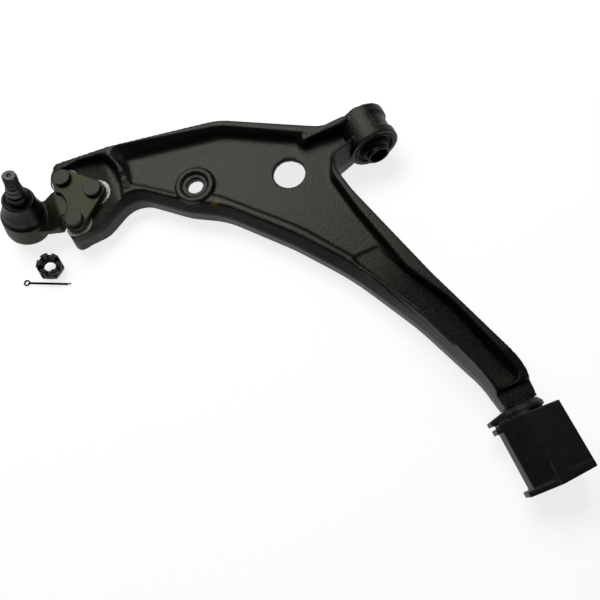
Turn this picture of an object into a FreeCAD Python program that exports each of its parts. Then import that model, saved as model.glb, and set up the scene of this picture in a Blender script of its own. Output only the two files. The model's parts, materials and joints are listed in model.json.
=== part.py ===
import FreeCAD, Part
import math
import os
from FreeCAD import Vector, Placement, Rotation

# Lower control arm of a front suspension, left-hand side of the car, lying with its ball stud up.
# Millimetres.  The origin is the centre of the front bush.  +Y runs along the pivot axis to the rear
# bush, +X points outboard to the ball joint and +Z points up, the way the stud leaves.

# ---------------------------------------------------------------- driving dimensions
# heights of the casting
PARTING_Z = -2.0          # mould parting plane
SKIRT_Z = -17.0           # lower edge of the skirt that runs all round
WEB_TOP = 6.0
WEB_THICKNESS = 5.0
LEG_WEB_THICKNESS = 8.0   # under the channel of the leg
RIM_TOP = 17.6            # front and inboard rims
LOW_RIM_TOP = 8.0         # rim along the outboard side
LEG_RIM_TOP = 14.0        # the same rim where it becomes a channel wall
TIP_RIM_TOP = 8.5         # front rim where it ends beside the ball joint
RIM_END_X = 273.8         # and how far out it runs
SKIRT_WALL = 7.5
SKIRT_DRAFT = 1.0         # inward lean of the skirt below the parting plane
LOBE_FLARE = 3.2          # the skirt stands out by this at the foot of the rear lobe
COVE = 4.0                # radius at the foot of the rims

# front bush
EYE_R = 22.5
EYE_LENGTH = 32.2
EYE_RELIEF = 2.2          # shallow relief on the inboard side of the eye
EYE_BAND = 8.5            # full-diameter band kept at each end of the eye
BUSH_R = 18.5             # press-fitted outer sleeve, outside
OUTER_SLEEVE_WALL = 1.6
OUTER_SLEEVE_PROUD = 0.5
FRONT_SLEEVE_R = 10.2
FRONT_BORE_R = 8.1
FRONT_SLEEVE_LENGTH = 49.0
RUBBER_NOSE = 5.0         # how far the rubber cone climbs along the inner sleeve

# rear bush
NECK_END_Y = 263.6
NECK_HALF_WIDTH = 13.5
NECK_HALF_HEIGHT = 13.0   # below the pivot axis
NECK_LEDGE_Z = 9.0        # step down on top, just before the rear bush
SPIGOT_R = 9.0
REAR_SLEEVE_WALL = 3.0
REAR_END_Y = 324.2
REAR_END_LEAN = 1.8        # the end runs back this much on the inboard side
REAR_BLOCK_Y = 271.4      # where the clamped block starts, after the collar and its groove
REAR_START_LEAN = 1.4     # it starts this much later on the inboard side
REAR_LUG_SETBACK = 1.7    # and its lug this much later on the outboard side
REAR_FLAT_X = -21.5       # flat inboard side
REAR_ROUND_X = 22.7       # outboard side
REAR_RIDGE_X = 5.5        # where the top flat turns down to the outboard side
REAR_HALF_HEIGHT = 19.6
REAR_FLANGE = 4.0         # thickness of the end flange
REAR_LUG = 4.7            # how far flange and lugs stand out on the outboard side
REAR_LUG_WIDTH = 4.2
REAR_LUG_HEIGHT = 15.0
REAR_CORNER = 1.6
COLLAR_R = 16.2
COLLAR_END_Y = 270.6

# ball joint; it leans inboard with its stud, and its heights run along that axis from the ball centre
BALL_X = 312.5
BALL_Y = -62.2
BALL_Z = 3.0
LEAN_ANGLE = -18.7        # turn about +Y, degrees
BALL_R = 11.5
CUP_R = 19.8
CUP_BOTTOM_R = 18.6
CUP_BOTTOM = -17.5
CUP_ROUND_START = -14.0   # where the cup starts to round in towards its bottom
CUP_TOP = 5.0
SPIGOT_INSET = 3.4        # low rim on the cup that the boot's foot sits round
SPIGOT_RISE = 1.9
CAVITY_R = 14.2
MOUTH_R = 10.6            # mouth over the ball, flared for the leaning stud
MOUTH_FLARE_R = 13.2
COVER_R = 15.5
COVER_THICKNESS = 1.5
COVER_RECESS = 0.5        # cover sits this far up in the cup
SPRING_THICKNESS = 0.8
SPRING_HOLE_R = 6.0
SPRING_RIM_GAP = 0.4
DRAIN_R = 3.0             # grease hole in the pressure seat
SEAT_GAP = 0.05           # running clearance of ball, shell and stud
SEAT_FIT = 0.1            # the seats in the cavity
SEAT_SPLIT = 0.3          # height of the joint between pressure seat and upper seat
SEAT_SPLIT_GAP = 0.3
SHELL_THICKNESS = 1.1     # bearing shell under the ball
SHELL_REACH = 62.0        # half angle that the shell covers
STUD_LENGTH = 61.5        # from ball centre to tip
STUD_NECK_R = 6.2
STUD_NECK_END = 16.0
SHANK_START = 20.0
SHANK_R = 7.2
TAPER_START = 43.0
TAPER_SMALL_R = 6.3
THREAD_R = 6.0            # M12
THREAD_LENGTH = 12.5
THREAD_RELIEF = 0.8
TIP_CHAMFER = 1.0
TIP_CENTRE_R = 2.0        # centre-drilled dimple
COTTER_HOLE_R = 1.6
COTTER_HOLE_FROM_TIP = 8.5
COTTER_HOLE_TURN = 25.0   # direction of the hole, degrees from +X
FLANGE_THICKNESS = 6.0
LOBE_R = 10.0
NECK_TOP_Z = 8.0
NECK_BOTTOM_Z = -8.0
NECK_START_X = 279.8      # where the neck leaves the flange
NECK_FRONT_Y = -72.5
NECK_REAR_Y = -43.8
NECK_CORNER = (287.2, -37.2)    # outer corner of the neck's rear side
NECK_SLOPE_START_X = 281.0      # its top slopes down from here to the cup
NECK_SLOPE_END_Z = 0.8
NECK_FRONT_REACH = 10.8   # sides of the neck at the cup, from the ball centre
NECK_REAR_REACH = 16.0
DECK_START_X = 260.0      # the neck's top runs on over the arm to here
# bay between the flange's outboard lobes: x, y, corner radius
FLANGE_BAY = [
    (272.5, -64.0, 6),
    (281.0, -70.0, 1),
    (300.0, -72.0, 1),
    (300.0, -38.0, 1),
    (276.5, -38.5, 1),
    (272.0, -44.0, 5),
    (269.8, -53.5, 14),
]
RIVET_POINTS = [(266.6, -77.0), (243.8, -53.4), (267.6, -32.2)]
RIVET_R = 5.0
RIVET_FIT = 0.02
RIVET_HEAD_R = 8.0
RIVET_HEAD_HEIGHT = 4.0
RIVET_HEAD_ROUND = 1.2
RIVET_TAIL_R = 7.0
RIVET_TAIL_HEIGHT = 3.2
PAD_R = 12.8              # machined pads under the flange
PAD_HEIGHT = 0.6

# dust boot
BOOT_FOOT_WALL = 1.6
BOOT_FOOT_HEIGHT = 3.4
BOOT_WALL = 1.4
BOOT_LIP = 37.0           # height of the lip along the stud
BOOT_LIP_R = 8.8
COLLAR_RING_R = 8.0
COLLAR_RING_HEIGHT = 3.6
COLLAR_RING_PROUD = 0.4
CLIP_WIRE_R = 0.8
CLIP_SINK = 0.5           # how deep the wire beds in the rubber
CLIP_GAP = 0.28           # room for the wire in its bed
# Outer face of the boot: share of the height from foot to lip, share of the radius from lip to foot
BOOT_PROFILE = [
    (0.0, 1.0),
    (0.126, 0.90),
    (0.266, 0.77),
    (0.406, 0.65),
    (0.545, 0.56),
    (0.633, 0.537),
    (0.699, 0.495),
    (0.738, 0.41),
    (0.745, 0.304),
    (0.762, 0.16),
    (0.86, 0.05),
    (1.0, 0.0),
]

# stabiliser link boss and lightening hole
LINK_X = 159.0
LINK_Y = -18.0
LINK_BOSS_R = 17.2
LINK_BOSS_TOP = 9.6
LINK_SEAT_R = 12.7
LINK_SEAT_DEPTH = 2.2
LINK_BORE_R = 7.25
WINDOW_X = 78.8
WINDOW_Y = 7.8
WINDOW_R = 14.1

# loose nut and cotter pin, lying beside the arm
GROUND_GAP = 0.1
NUT_X = 310.2
NUT_Y = -13.5
NUT_FLATS = 21.0
NUT_HEIGHT = 14.0
NUT_CROWN_HEIGHT = 6.0
NUT_CROWN_R = 10.4
NUT_SLOT_WIDTH = 3.6
NUT_BORE_R = 5.35         # M12
NUT_CROWN_BORE_R = 6.2    # the slotted crown has no thread
NUT_COUNTERSINK = 0.8
NUT_TURN = 40.3
NUT_TILT = 20.8           # the crown leans over by this, towards the direction below
NUT_TILT_TOWARDS = 145.8
PIN_EYE_X = 335.5
PIN_EYE_Y = -10.8
PIN_TURN = 153.1          # direction of the legs, degrees from +X
PIN_LENGTH = 42.0
PIN_R = 1.0
PIN_EYE_R = 3.0
PIN_LEG_GAP = 0.12

FIT = 0.05                # running clearance of the bush parts
TINY = 0.02               # tolerance for picking edges by height

# Outline of the casting on its parting plane, anticlockwise:
# x, y, corner radius, how far the corner stands further in at rim height; a fifth value is the same for the
# lower edge of the skirt, where it differs from the draft
ARM_OUTLINE = [
    (-13.5, 262.0, 3, 1.0),
    (-15.2, 238.0, 40, 1.2),
    (12.5, 148.0, 220, 1.2),
    (37.5, 52.0, 60, 1.2),
    (38.5, 20.0, 8, 6.0),
    (14.0, 12.0, 3, 4.0),
    (14.0, -15.0, 3, 1.0),
    (37.0, -17.0, 30, 1.0),
    (116.0, -66.2, 60, 1.2),
    (205.0, -85.0, 60, 1.2),
    (274.5, -99.0, 4, 1.0),
    (279.4, -91.5, 5, 1.5),
    (282.4, -81.0, 8, 1.8),
    (277.5, -68.0, 6, 0.6),
    (262.0, -64.0, 6, 0.6),
    (262.0, -45.0, 6, 0.6),
    (275.5, -41.0, 4, 0.6),
    (279.2, -32.0, 4, 2.5, -LOBE_FLARE),
    (279.8, -23.5, 6, 3.0, -LOBE_FLARE),
    (277.0, -18.4, 5, 4.0, -LOBE_FLARE / 2),
    (268.0, -17.6, 10, 5.0),
    (249.0, -18.6, 25, 8.0),
    (215.0, -38.5, 24, 12.0),
    (174.4, -1.0, 60, 13.5),
    (146.2, 16.6, 80, 13.5),
    (101.6, 69.6, 200, 14.5),
    (68.6, 117.0, 250, 16.0),
    (38.4, 178.5, 200, 5.0),
    (16.0, 240.0, 80, 2.0),
    (13.5, 262.0, 3, 1.0),
]
# Foot of the walls round the web, anticlockwise: x, y, corner radius, outward lean at rim height
WEB_POCKET = [
    (27.5, 143.0, 6, 1.2),
    (42.5, 70.0, 60, 1.2),
    (48.0, 30.0, 14, 1.5),
    (38.0, 11.0, 12, 1.5),
    (8.0, 4.5, 4, 1.5),
    (8.0, -4.5, 4, 3.0),
    (44.0, -8.5, 30, 3.5),
    (118.5, -55.5, 50, 6.0),
    (210.5, -75.5, 6, 16.0),
    (210.0, -62.0, 20, 12.0),
    (212.5, -45.5, 6, 10.0),
    (203.0, -38.5, 14, 1.0),
    (172.0, -12.0, 40, 1.0),
    (146.0, 0.0, 30, 1.0),
    (92.0, 61.0, 160, 1.0),
    (59.0, 112.0, 160, 1.0),
    (42.0, 145.0, 6, 1.0),
]
# Recess for the ball joint flange
FLANGE_POCKET = [
    (300.0, -88.4, 2, 1.0),
    (250.0, -88.0, 14, 1.0),
    (226.5, -80.0, 10, 5.5),
    (220.0, -66.0, 10, 6.5),
    (220.0, -52.0, 20, 6.0),
    (224.5, -30.0, 10, 4.5),
    (223.0, 0.0, 2, 0.0),
    (300.0, 0.0, 2, 0.0),
]
# Channel along the leg
LEG_CHANNEL = [
    (-6.5, 247.0, 5, 3.0),
    (12.0, 175.0, 80, 2.5),
    (29.0, 136.0, 60, 1.0),
    (41.0, 102.0, 6, 0.5),
    (64.0, 104.0, 4, 1.0),
    (33.0, 166.0, 80, 3.0),
    (8.0, 247.0, 5, 3.0),
]


# ---------------------------------------------------------------- helpers
def rounded_wire(points, z):
    """Closed wire of straight runs and tangent arcs through (x, y, radius) corners."""
    count = len(points)
    starts, middles, ends = [], [], []
    for i in range(count):
        corner = Vector(points[i][0], points[i][1], 0)
        before = Vector(points[i - 1][0], points[i - 1][1], 0) - corner
        after = Vector(points[(i + 1) % count][0], points[(i + 1) % count][1], 0) - corner
        reach = 0.48 * min(before.Length, after.Length)
        before.normalize()
        after.normalize()
        half = before.getAngle(after) / 2.0
        radius = min(points[i][2], reach * math.tan(half))
        bisector = (before + after).normalize()
        centre = corner + bisector * (radius / math.sin(half))
        starts.append(corner + before * (radius / math.tan(half)))
        middles.append(centre - bisector * radius)
        ends.append(corner + after * (radius / math.tan(half)))
    lift = Vector(0, 0, z)
    edges = []
    for i in range(count):
        edges.append(Part.Arc(starts[i] + lift, middles[i] + lift, ends[i] + lift).toShape())
        edges.append(Part.LineSegment(ends[i] + lift, starts[(i + 1) % count] + lift).toShape())
    return Part.Wire(edges)


def signed_area(points):
    total = 0.0
    for i in range(len(points)):
        total += points[i - 1][0] * points[i][1] - points[i][0] * points[i - 1][1]
    return total / 2.0


def inset(points, distances):
    """Move each corner inward by its own distance, keeping the walls parallel."""
    count = len(points)
    turn = 1.0 if signed_area(points) > 0 else -1.0
    moved = []
    for i in range(count):
        x, y, radius = points[i][:3]
        ax, ay = x - points[i - 1][0], y - points[i - 1][1]
        bx, by = points[(i + 1) % count][0] - x, points[(i + 1) % count][1] - y
        la, lb = math.hypot(ax, ay), math.hypot(bx, by)
        nax, nay = -ay / la * turn, ax / la * turn
        nbx, nby = -by / lb * turn, bx / lb * turn
        scale = distances[i] / (1.0 + nax * nbx + nay * nby)
        convex = (ax * by - ay * bx) * turn > 0
        new_radius = radius - distances[i] if convex else radius + distances[i]
        moved.append((x + (nax + nbx) * scale, y + (nay + nby) * scale, max(new_radius, 1.0)))
    return moved


def drafted(points, z0, z1, distances):
    """Solid between an outline at z0 and the same outline, inset, at z1."""
    low = rounded_wire(points, z0)
    high = rounded_wire(inset(points, distances), z1)
    return Part.makeLoft([low, high], True, True)


def leaning(table):
    return [row[3] for row in table]


def cove_bottom(solid, z, radius):
    """Round the edges at height z of a cutting tool, so that the cut has a cove at its foot."""
    edges = []
    for edge in solid.Edges:
        box = edge.BoundBox
        if abs(box.ZMin - z) < TINY and abs(box.ZMax - z) < TINY:
            edges.append(edge)
    return solid.makeFillet(radius, edges)


def prism_xz(points, y0, y1):
    """Prism along Y over an XZ outline."""
    corners = [Vector(x, y0, z) for x, z in points]
    return Part.Face(Part.makePolygon(corners + corners[:1])).extrude(Vector(0, y1 - y0, 0))


def prism_yz(points, x0, x1):
    """Prism along X over a YZ outline."""
    corners = [Vector(x0, y, z) for y, z in points]
    return Part.Face(Part.makePolygon(corners + corners[:1])).extrude(Vector(x1 - x0, 0, 0))


def prism_xy(points, z0, z1):
    """Prism along Z over an XY outline."""
    corners = [Vector(x, y, z0) for x, y in points]
    return Part.Face(Part.makePolygon(corners + corners[:1])).extrude(Vector(0, 0, z1 - z0))


def prism_rounded(points, z0, z1):
    """Prism along Z over an outline with rounded corners."""
    return Part.Face(rounded_wire(points, z0)).extrude(Vector(0, 0, z1 - z0))


def cylinder_y(radius, y0, y1, x=0.0, z=0.0):
    return Part.makeCylinder(radius, y1 - y0, Vector(x, y0, z), Vector(0, 1, 0))


def cylinder_z(radius, z0, z1, x, y):
    return Part.makeCylinder(radius, z1 - z0, Vector(x, y, z0), Vector(0, 0, 1))


def revolve_z(profile):
    """Solid of revolution about Z over (r, z) corners."""
    corners = [Vector(r, 0, z) for r, z in profile]
    return Part.Face(Part.makePolygon(corners + corners[:1])).revolve(Vector(0, 0, 0), Vector(0, 0, 1), 360)


LEAN = Rotation(Vector(0, 1, 0), LEAN_ANGLE)


def at_ball(shape):
    """Lean a shape made upright about the origin, and move it to the ball centre."""
    moved = shape.copy()
    moved.Placement = Placement(Vector(BALL_X, BALL_Y, BALL_Z), LEAN)
    return moved


# ---------------------------------------------------------------- the casting
def casting_body():
    rows = [row[:3] for row in ARM_OUTLINE]
    skirt_lean = [row[4] if len(row) > 4 else SKIRT_DRAFT for row in ARM_OUTLINE]
    skirt = drafted(rows, PARTING_Z, SKIRT_Z, skirt_lean)
    upper = drafted(rows, PARTING_Z, RIM_TOP, leaning(ARM_OUTLINE))
    return skirt.fuse(upper).removeSplitter()


def top_cuts():
    """What is cut away above the varying height of the rims."""
    high = RIM_TOP + 20.0
    pocket_rim = prism_xz([(219, RIM_TOP), (285, TIP_RIM_TOP), (290, high), (219, high)], -110, 5)
    divider = prism_yz([(-78, RIM_TOP), (-42, LOW_RIM_TOP), (10, LOW_RIM_TOP), (10, high), (-78, high)],
                       207, 300)
    low_side = prism_xy([(208, -41), (198, -60), (120, -30), (60, 50), (52, 80), (56, 115), (90, 130),
                         (208, 40)], LOW_RIM_TOP, high)
    leg_side = prism_xy([(56, 115), (20, 200), (60, 260), (100, 115)], WEB_TOP, high)
    leg_rise = prism_yz([(115, LOW_RIM_TOP), (170, LEG_RIM_TOP), (262, LEG_RIM_TOP), (262, high),
                         (115, high)], -20, 120)
    neck_top = prism_yz([(225, RIM_TOP), (250, LEG_RIM_TOP - 0.5), (251.5, NECK_LEDGE_Z), (270, NECK_LEDGE_Z),
                         (270, high), (225, high)], -40, 60)
    neck_low = prism_yz([(225, SKIRT_Z), (262, -NECK_HALF_HEIGHT), (270, -NECK_HALF_HEIGHT), (270, -high),
                         (225, -high)], -40, 60)
    rim_end = Part.makeBox(30, 30, 40, Vector(RIM_END_X, -110, WEB_TOP - PAD_HEIGHT))
    return [pocket_rim, rim_end, divider, low_side, leg_side.common(leg_rise), neck_top, neck_low]


def web_pocket():
    rows = [row[:3] for row in WEB_POCKET]
    wall = Part.Face(rounded_wire(rows, WEB_TOP)).extrude(Vector(0, 0, COVE + 1.0))
    lean = [-row[3] for row in WEB_POCKET]
    return cove_bottom(wall, WEB_TOP, COVE).fuse(drafted(rows, WEB_TOP + COVE, RIM_TOP + 6.0, lean))


def flange_pocket():
    return drafted([row[:3] for row in FLANGE_POCKET], WEB_TOP - PAD_HEIGHT, RIM_TOP + 6.0,
                   [-lean for lean in leaning(FLANGE_POCKET)])


def leg_channel():
    low = -12.0
    tool = drafted([row[:3] for row in LEG_CHANNEL], low, RIM_TOP + 6.0,
                   [-lean for lean in leaning(LEG_CHANNEL)])
    floor = [(104, 5.2), (150, 3.6), (215, -0.5), (236, -0.5), (252, 6.0)]
    above = prism_yz(floor + [(252, 40), (104, 40)], -60, 120)
    return tool.common(above)


def underside_pockets():
    outline = Part.Face(rounded_wire([row[:3] for row in ARM_OUTLINE], SKIRT_Z - 1.0))
    hollow = outline.makeOffset2D(-SKIRT_WALL).extrude(Vector(0, 0, 60))
    web_side = WEB_TOP - WEB_THICKNESS
    leg_side = -LEG_WEB_THICKNESS
    ceiling = [(-120, web_side), (100, web_side), (175, leg_side), (236, leg_side), (246, SKIRT_Z - 1),
               (-120, SKIRT_Z - 1)]
    return hollow.common(prism_yz(ceiling, -40, 320))


def arm_forging():
    arm = casting_body()
    for tool in top_cuts():
        arm = arm.cut(tool)
    arm = arm.cut(web_pocket()).cut(flange_pocket()).cut(leg_channel()).cut(underside_pockets())
    half = EYE_LENGTH / 2.0
    eye = cylinder_y(EYE_R, -half, half)
    relief_half = half - EYE_BAND
    relief = cylinder_y(EYE_R + 5, -relief_half, relief_half)
    relief = relief.cut(cylinder_y(EYE_R - EYE_RELIEF, -relief_half, relief_half))
    relief = relief.common(Part.makeBox(30, 40, 60, Vector(-34, -20, -30)))
    eye = eye.cut(relief)
    outline = Part.Face(rounded_wire([row[:3] for row in ARM_OUTLINE], -5)).extrude(Vector(0, 0, 40))
    brace = prism_xz([(62, WEB_TOP - 2), (56, RIM_TOP - 1), (30, RIM_TOP + 1.0), (8, EYE_R - 2.2), (6, 0),
                      (40, 0)], -half + 0.6, -half + 6.6)
    brace = brace.common(outline)
    boss = cylinder_z(LINK_BOSS_R, WEB_TOP - WEB_THICKNESS, LINK_BOSS_TOP, LINK_X, LINK_Y)
    spigot = cylinder_y(SPIGOT_R, NECK_END_Y - 12, REAR_END_Y - 6)
    neck = Part.makeBox(2 * NECK_HALF_WIDTH - 1.6, 6.0, NECK_LEDGE_Z + NECK_HALF_HEIGHT - 1.6,
                        Vector(0.8 - NECK_HALF_WIDTH, NECK_END_Y - 6.0, 0.8 - NECK_HALF_HEIGHT))
    arm = arm.fuse([eye, brace, boss, neck, spigot])
    arm = arm.cut(cylinder_y(BUSH_R, -half - 1, half + 1))
    arm = arm.cut(cylinder_z(LINK_SEAT_R, LINK_BOSS_TOP - LINK_SEAT_DEPTH, LINK_BOSS_TOP + 5, LINK_X, LINK_Y))
    arm = arm.cut(cylinder_z(LINK_BORE_R, SKIRT_Z, LINK_BOSS_TOP + 2, LINK_X, LINK_Y))
    arm = arm.cut(cylinder_z(WINDOW_R, SKIRT_Z, RIM_TOP, WINDOW_X, WINDOW_Y))
    for x, y in RIVET_POINTS:
        arm = arm.fuse(cylinder_z(PAD_R, WEB_TOP - 3, WEB_TOP, x, y).common(outline))
        arm = arm.cut(cylinder_z(RIVET_R + RIVET_FIT, SKIRT_Z, RIM_TOP, x, y))
        arm = arm.cut(cylinder_z(RIVET_TAIL_R + 0.6, SKIRT_Z - 1, WEB_TOP - WEB_THICKNESS, x, y))
    return arm.removeSplitter()


# ---------------------------------------------------------------- front bush
def tube_y(outer, inner, y0, y1):
    return cylinder_y(outer, y0, y1).cut(cylinder_y(inner, y0 - 1, y1 + 1))


def revolve_y(profile):
    """Solid of revolution about Y over (r, y) corners."""
    corners = [Vector(r, y, 0) for r, y in profile]
    return Part.Face(Part.makePolygon(corners + corners[:1])).revolve(Vector(0, 0, 0), Vector(0, 1, 0), 360)


def front_bush_outer_sleeve():
    half = EYE_LENGTH / 2.0 + OUTER_SLEEVE_PROUD
    return tube_y(BUSH_R, BUSH_R - OUTER_SLEEVE_WALL, -half, half)


def front_bush_rubber():
    outer = BUSH_R - OUTER_SLEEVE_WALL
    inner = FRONT_SLEEVE_R + FIT
    half = EYE_LENGTH / 2.0 - 1.0
    nose = half + RUBBER_NOSE
    lip = inner + 1.2
    return revolve_y([(inner, -nose), (lip, -nose), (outer, -half), (outer, half), (lip, nose), (inner, nose)])


def front_bush_inner_sleeve():
    half = FRONT_SLEEVE_LENGTH / 2.0
    sleeve = tube_y(FRONT_SLEEVE_R, FRONT_BORE_R, -half, half)
    rims = [edge for edge in sleeve.Edges if isinstance(edge.Curve, Part.Circle)]
    return sleeve.makeChamfer(0.5, rims)


# ---------------------------------------------------------------- rear bush
def rear_sleeve_r():
    return SPIGOT_R + REAR_SLEEVE_WALL


def rear_bush_inner_sleeve():
    return tube_y(rear_sleeve_r(), SPIGOT_R, NECK_END_Y, REAR_END_Y - 3.0)


def rear_section(grow):
    """D-shaped section of the rear block in XZ, optionally grown on its round side."""
    round_x = REAR_ROUND_X + grow
    half = REAR_HALF_HEIGHT
    side = 0.4 * half
    return [(REAR_FLAT_X, -half), (REAR_RIDGE_X, -half), (round_x, -side), (round_x, side),
            (REAR_RIDGE_X, half), (REAR_FLAT_X, half)]


def rear_bush_block():
    flange_y = REAR_END_Y - REAR_FLANGE
    block = prism_xz(rear_section(0), REAR_BLOCK_Y, flange_y)
    length = flange_y - REAR_BLOCK_Y
    along = [edge for edge in block.Edges if edge.BoundBox.YLength > length / 2]
    block = block.makeFillet(REAR_CORNER, along)
    flange = prism_xz(rear_section(REAR_LUG), flange_y, REAR_END_Y)
    flange = flange.makeFillet(REAR_CORNER, [edge for edge in flange.Edges
                                                if edge.BoundBox.YLength > REAR_FLANGE / 2])
    start = NECK_END_Y + 0.4
    collar = revolve_y([(0, start), (COLLAR_R - 2.6, start), (COLLAR_R, start + 3.6), (COLLAR_R, COLLAR_END_Y),
                        (COLLAR_R - 2.0, COLLAR_END_Y), (COLLAR_R - 2.0, REAR_BLOCK_Y + 1),
                        (0, REAR_BLOCK_Y + 1)])
    lug_x = REAR_ROUND_X + REAR_LUG
    half = REAR_LUG_HEIGHT / 2.0
    front_lug = prism_xy([(8, start), (COLLAR_R - 2.6, start), (lug_x, COLLAR_END_Y - 3.4),
                          (lug_x, COLLAR_END_Y), (8, COLLAR_END_Y)], -half, half)
    rear_lug = Part.makeBox(lug_x - 9.0, REAR_LUG_WIDTH, REAR_LUG_HEIGHT,
                            Vector(8.0, REAR_BLOCK_Y + REAR_LUG_SETBACK, -half))
    start_lean = prism_xy([(REAR_RIDGE_X, REAR_BLOCK_Y), (REAR_FLAT_X - 1, REAR_BLOCK_Y + REAR_START_LEAN),
                           (REAR_FLAT_X - 1, COLLAR_END_Y), (REAR_RIDGE_X, COLLAR_END_Y)], -40, 40)
    start_lean = start_lean.cut(cylinder_y(COLLAR_R - 2.0, COLLAR_END_Y - 5, REAR_BLOCK_Y + 5))
    end_lean = prism_xy([(REAR_RIDGE_X, REAR_END_Y), (REAR_FLAT_X - 1, REAR_END_Y - REAR_END_LEAN),
                         (REAR_FLAT_X - 1, REAR_END_Y + 5), (REAR_RIDGE_X, REAR_END_Y + 5)], -40, 40)
    block = block.fuse([flange, rear_lug]).cut(start_lean).fuse([collar, front_lug]).cut(end_lean)
    return block.cut(cylinder_y(rear_sleeve_r() + FIT, 200, 400)).removeSplitter()


# ---------------------------------------------------------------- ball joint
def lobe_hull(points, radius, z0, z1):
    """Plate with round lobes about three points and straight edges between them."""
    rows = []
    turn = 1.0 if signed_area(points) > 0 else -1.0
    count = len(points)
    normals = []
    for i in range(count):
        dx, dy = points[(i + 1) % count][0] - points[i][0], points[(i + 1) % count][1] - points[i][1]
        length = math.hypot(dx, dy)
        normals.append((dy / length * turn * radius, -dx / length * turn * radius))
    edges = []
    for i in range(count):
        x, y = points[i]
        ax, ay = normals[i - 1]
        bx, by = normals[i]
        mx, my = ax + bx, ay + by
        stretch = radius / math.hypot(mx, my)
        start, middle = Vector(x + ax, y + ay, z0), Vector(x + mx * stretch, y + my * stretch, z0)
        end = Vector(x + bx, y + by, z0)
        nx, ny = points[(i + 1) % count]
        edges.append(Part.Arc(start, middle, end).toShape())
        edges.append(Part.LineSegment(end, Vector(nx + bx, ny + by, z0)).toShape())
    return Part.Face(Part.Wire(edges)).extrude(Vector(0, 0, z1 - z0))


def spigot_r():
    return CUP_R - SPIGOT_INSET


def boot_foot_r():
    return spigot_r() + BOOT_FOOT_WALL


def cup_profile():
    """Outside of the cup: a quarter ellipse up from the bottom, a straight band, and the boot spigot on top."""
    profile = [(0, CUP_BOTTOM), (CUP_BOTTOM_R, CUP_BOTTOM)]
    for k in range(1, 4):
        turn = math.radians(90.0 * k / 4)
        profile.append((CUP_BOTTOM_R + (CUP_R - CUP_BOTTOM_R) * math.sin(turn),
                        CUP_ROUND_START - (CUP_ROUND_START - CUP_BOTTOM) * math.cos(turn)))
    return profile + [(CUP_R, CUP_ROUND_START), (CUP_R, CUP_TOP), (spigot_r(), CUP_TOP),
                      (spigot_r(), CUP_TOP + SPIGOT_RISE), (0, CUP_TOP + SPIGOT_RISE)]


def joint_neck():
    """Neck from the flange to the cup, level at the flange and sloping down to the cup."""
    outline = [(NECK_START_X, NECK_FRONT_Y, 1), (BALL_X, BALL_Y - NECK_FRONT_REACH, 1),
               (BALL_X, BALL_Y + NECK_REAR_REACH, 1), NECK_CORNER + (3,), (NECK_START_X + 5, NECK_CORNER[1], 1),
               (NECK_START_X, NECK_REAR_Y, 1)]
    side = [(NECK_START_X - 1, NECK_BOTTOM_Z), (NECK_START_X - 1, NECK_TOP_Z), (NECK_SLOPE_START_X, NECK_TOP_Z),
            (BALL_X - CUP_R, NECK_SLOPE_END_Z), (BALL_X + 1, NECK_SLOPE_END_Z), (BALL_X + 1, NECK_BOTTOM_Z)]
    reach = max(NECK_FRONT_REACH, NECK_REAR_REACH) + CUP_R
    full = prism_rounded(outline, NECK_BOTTOM_Z, NECK_TOP_Z)
    return full.common(prism_xz(side, BALL_Y - reach, BALL_Y + reach))


def ball_joint_housing():
    flange_top = WEB_TOP + FLANGE_THICKNESS
    plate = lobe_hull(RIVET_POINTS, LOBE_R, WEB_TOP, flange_top)
    plate = plate.cut(prism_rounded(FLANGE_BAY, NECK_TOP_Z, flange_top + 1))
    deck = prism_xy([(DECK_START_X, NECK_FRONT_Y), (NECK_START_X, NECK_FRONT_Y),
                     (NECK_START_X + 1, NECK_FRONT_Y + 2), (NECK_START_X + 1, NECK_REAR_Y - 2),
                     (NECK_START_X, NECK_REAR_Y), (DECK_START_X, NECK_REAR_Y - 4)], WEB_TOP, NECK_TOP_Z)
    cup = at_ball(revolve_z(cup_profile()))
    room_r = boot_foot_r() + 2 * CLIP_WIRE_R
    room = ring_z(room_r, spigot_r(), CUP_TOP, BOOT_LIP)
    cover_top = CUP_BOTTOM + COVER_RECESS + COVER_THICKNESS
    cavity = at_ball(revolve_z([(0, CUP_BOTTOM - 1), (COVER_R, CUP_BOTTOM - 1), (COVER_R, cover_top),
                                (CAVITY_R, cover_top), (CAVITY_R, cavity_top()), (MOUTH_R, cavity_top()),
                                (MOUTH_FLARE_R, CUP_TOP + SPIGOT_RISE), (MOUTH_FLARE_R, BOOT_LIP),
                                (0, BOOT_LIP)]))
    housing = plate.fuse([deck, joint_neck(), cup]).cut(room).cut(cavity)
    for x, y in RIVET_POINTS:
        housing = housing.cut(cylinder_z(RIVET_R + RIVET_FIT, 0, flange_top + 1, x, y))
    return housing.removeSplitter()


def ball_joint_rivets():
    top = WEB_TOP + FLANGE_THICKNESS
    under = WEB_TOP - WEB_THICKNESS
    tail = under - RIVET_TAIL_HEIGHT
    head = top + RIVET_HEAD_HEIGHT
    profile = [(0, tail), (RIVET_TAIL_R - 1.5, tail), (RIVET_TAIL_R, tail + 1.5), (RIVET_TAIL_R, under),
               (RIVET_R, under), (RIVET_R, top), (RIVET_HEAD_R, top), (RIVET_HEAD_R, head - RIVET_HEAD_ROUND),
               (RIVET_HEAD_R - RIVET_HEAD_ROUND, head), (0, head)]
    rivets = []
    for x, y in RIVET_POINTS:
        rivet = revolve_z(profile)
        rivet.translate(Vector(x, y, 0))
        rivets.append(rivet)
    return Part.makeCompound(rivets)


def ring_z(outer, inner, z0, z1):
    """Ring or, with no inner radius, disc of revolution about the joint's axis, at the ball."""
    return at_ball(revolve_z([(inner, z0), (outer, z0), (outer, z1), (inner, z1)]))


def cover_height():
    return CUP_BOTTOM + COVER_RECESS


def spring_height():
    return cover_height() + COVER_THICKNESS


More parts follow.
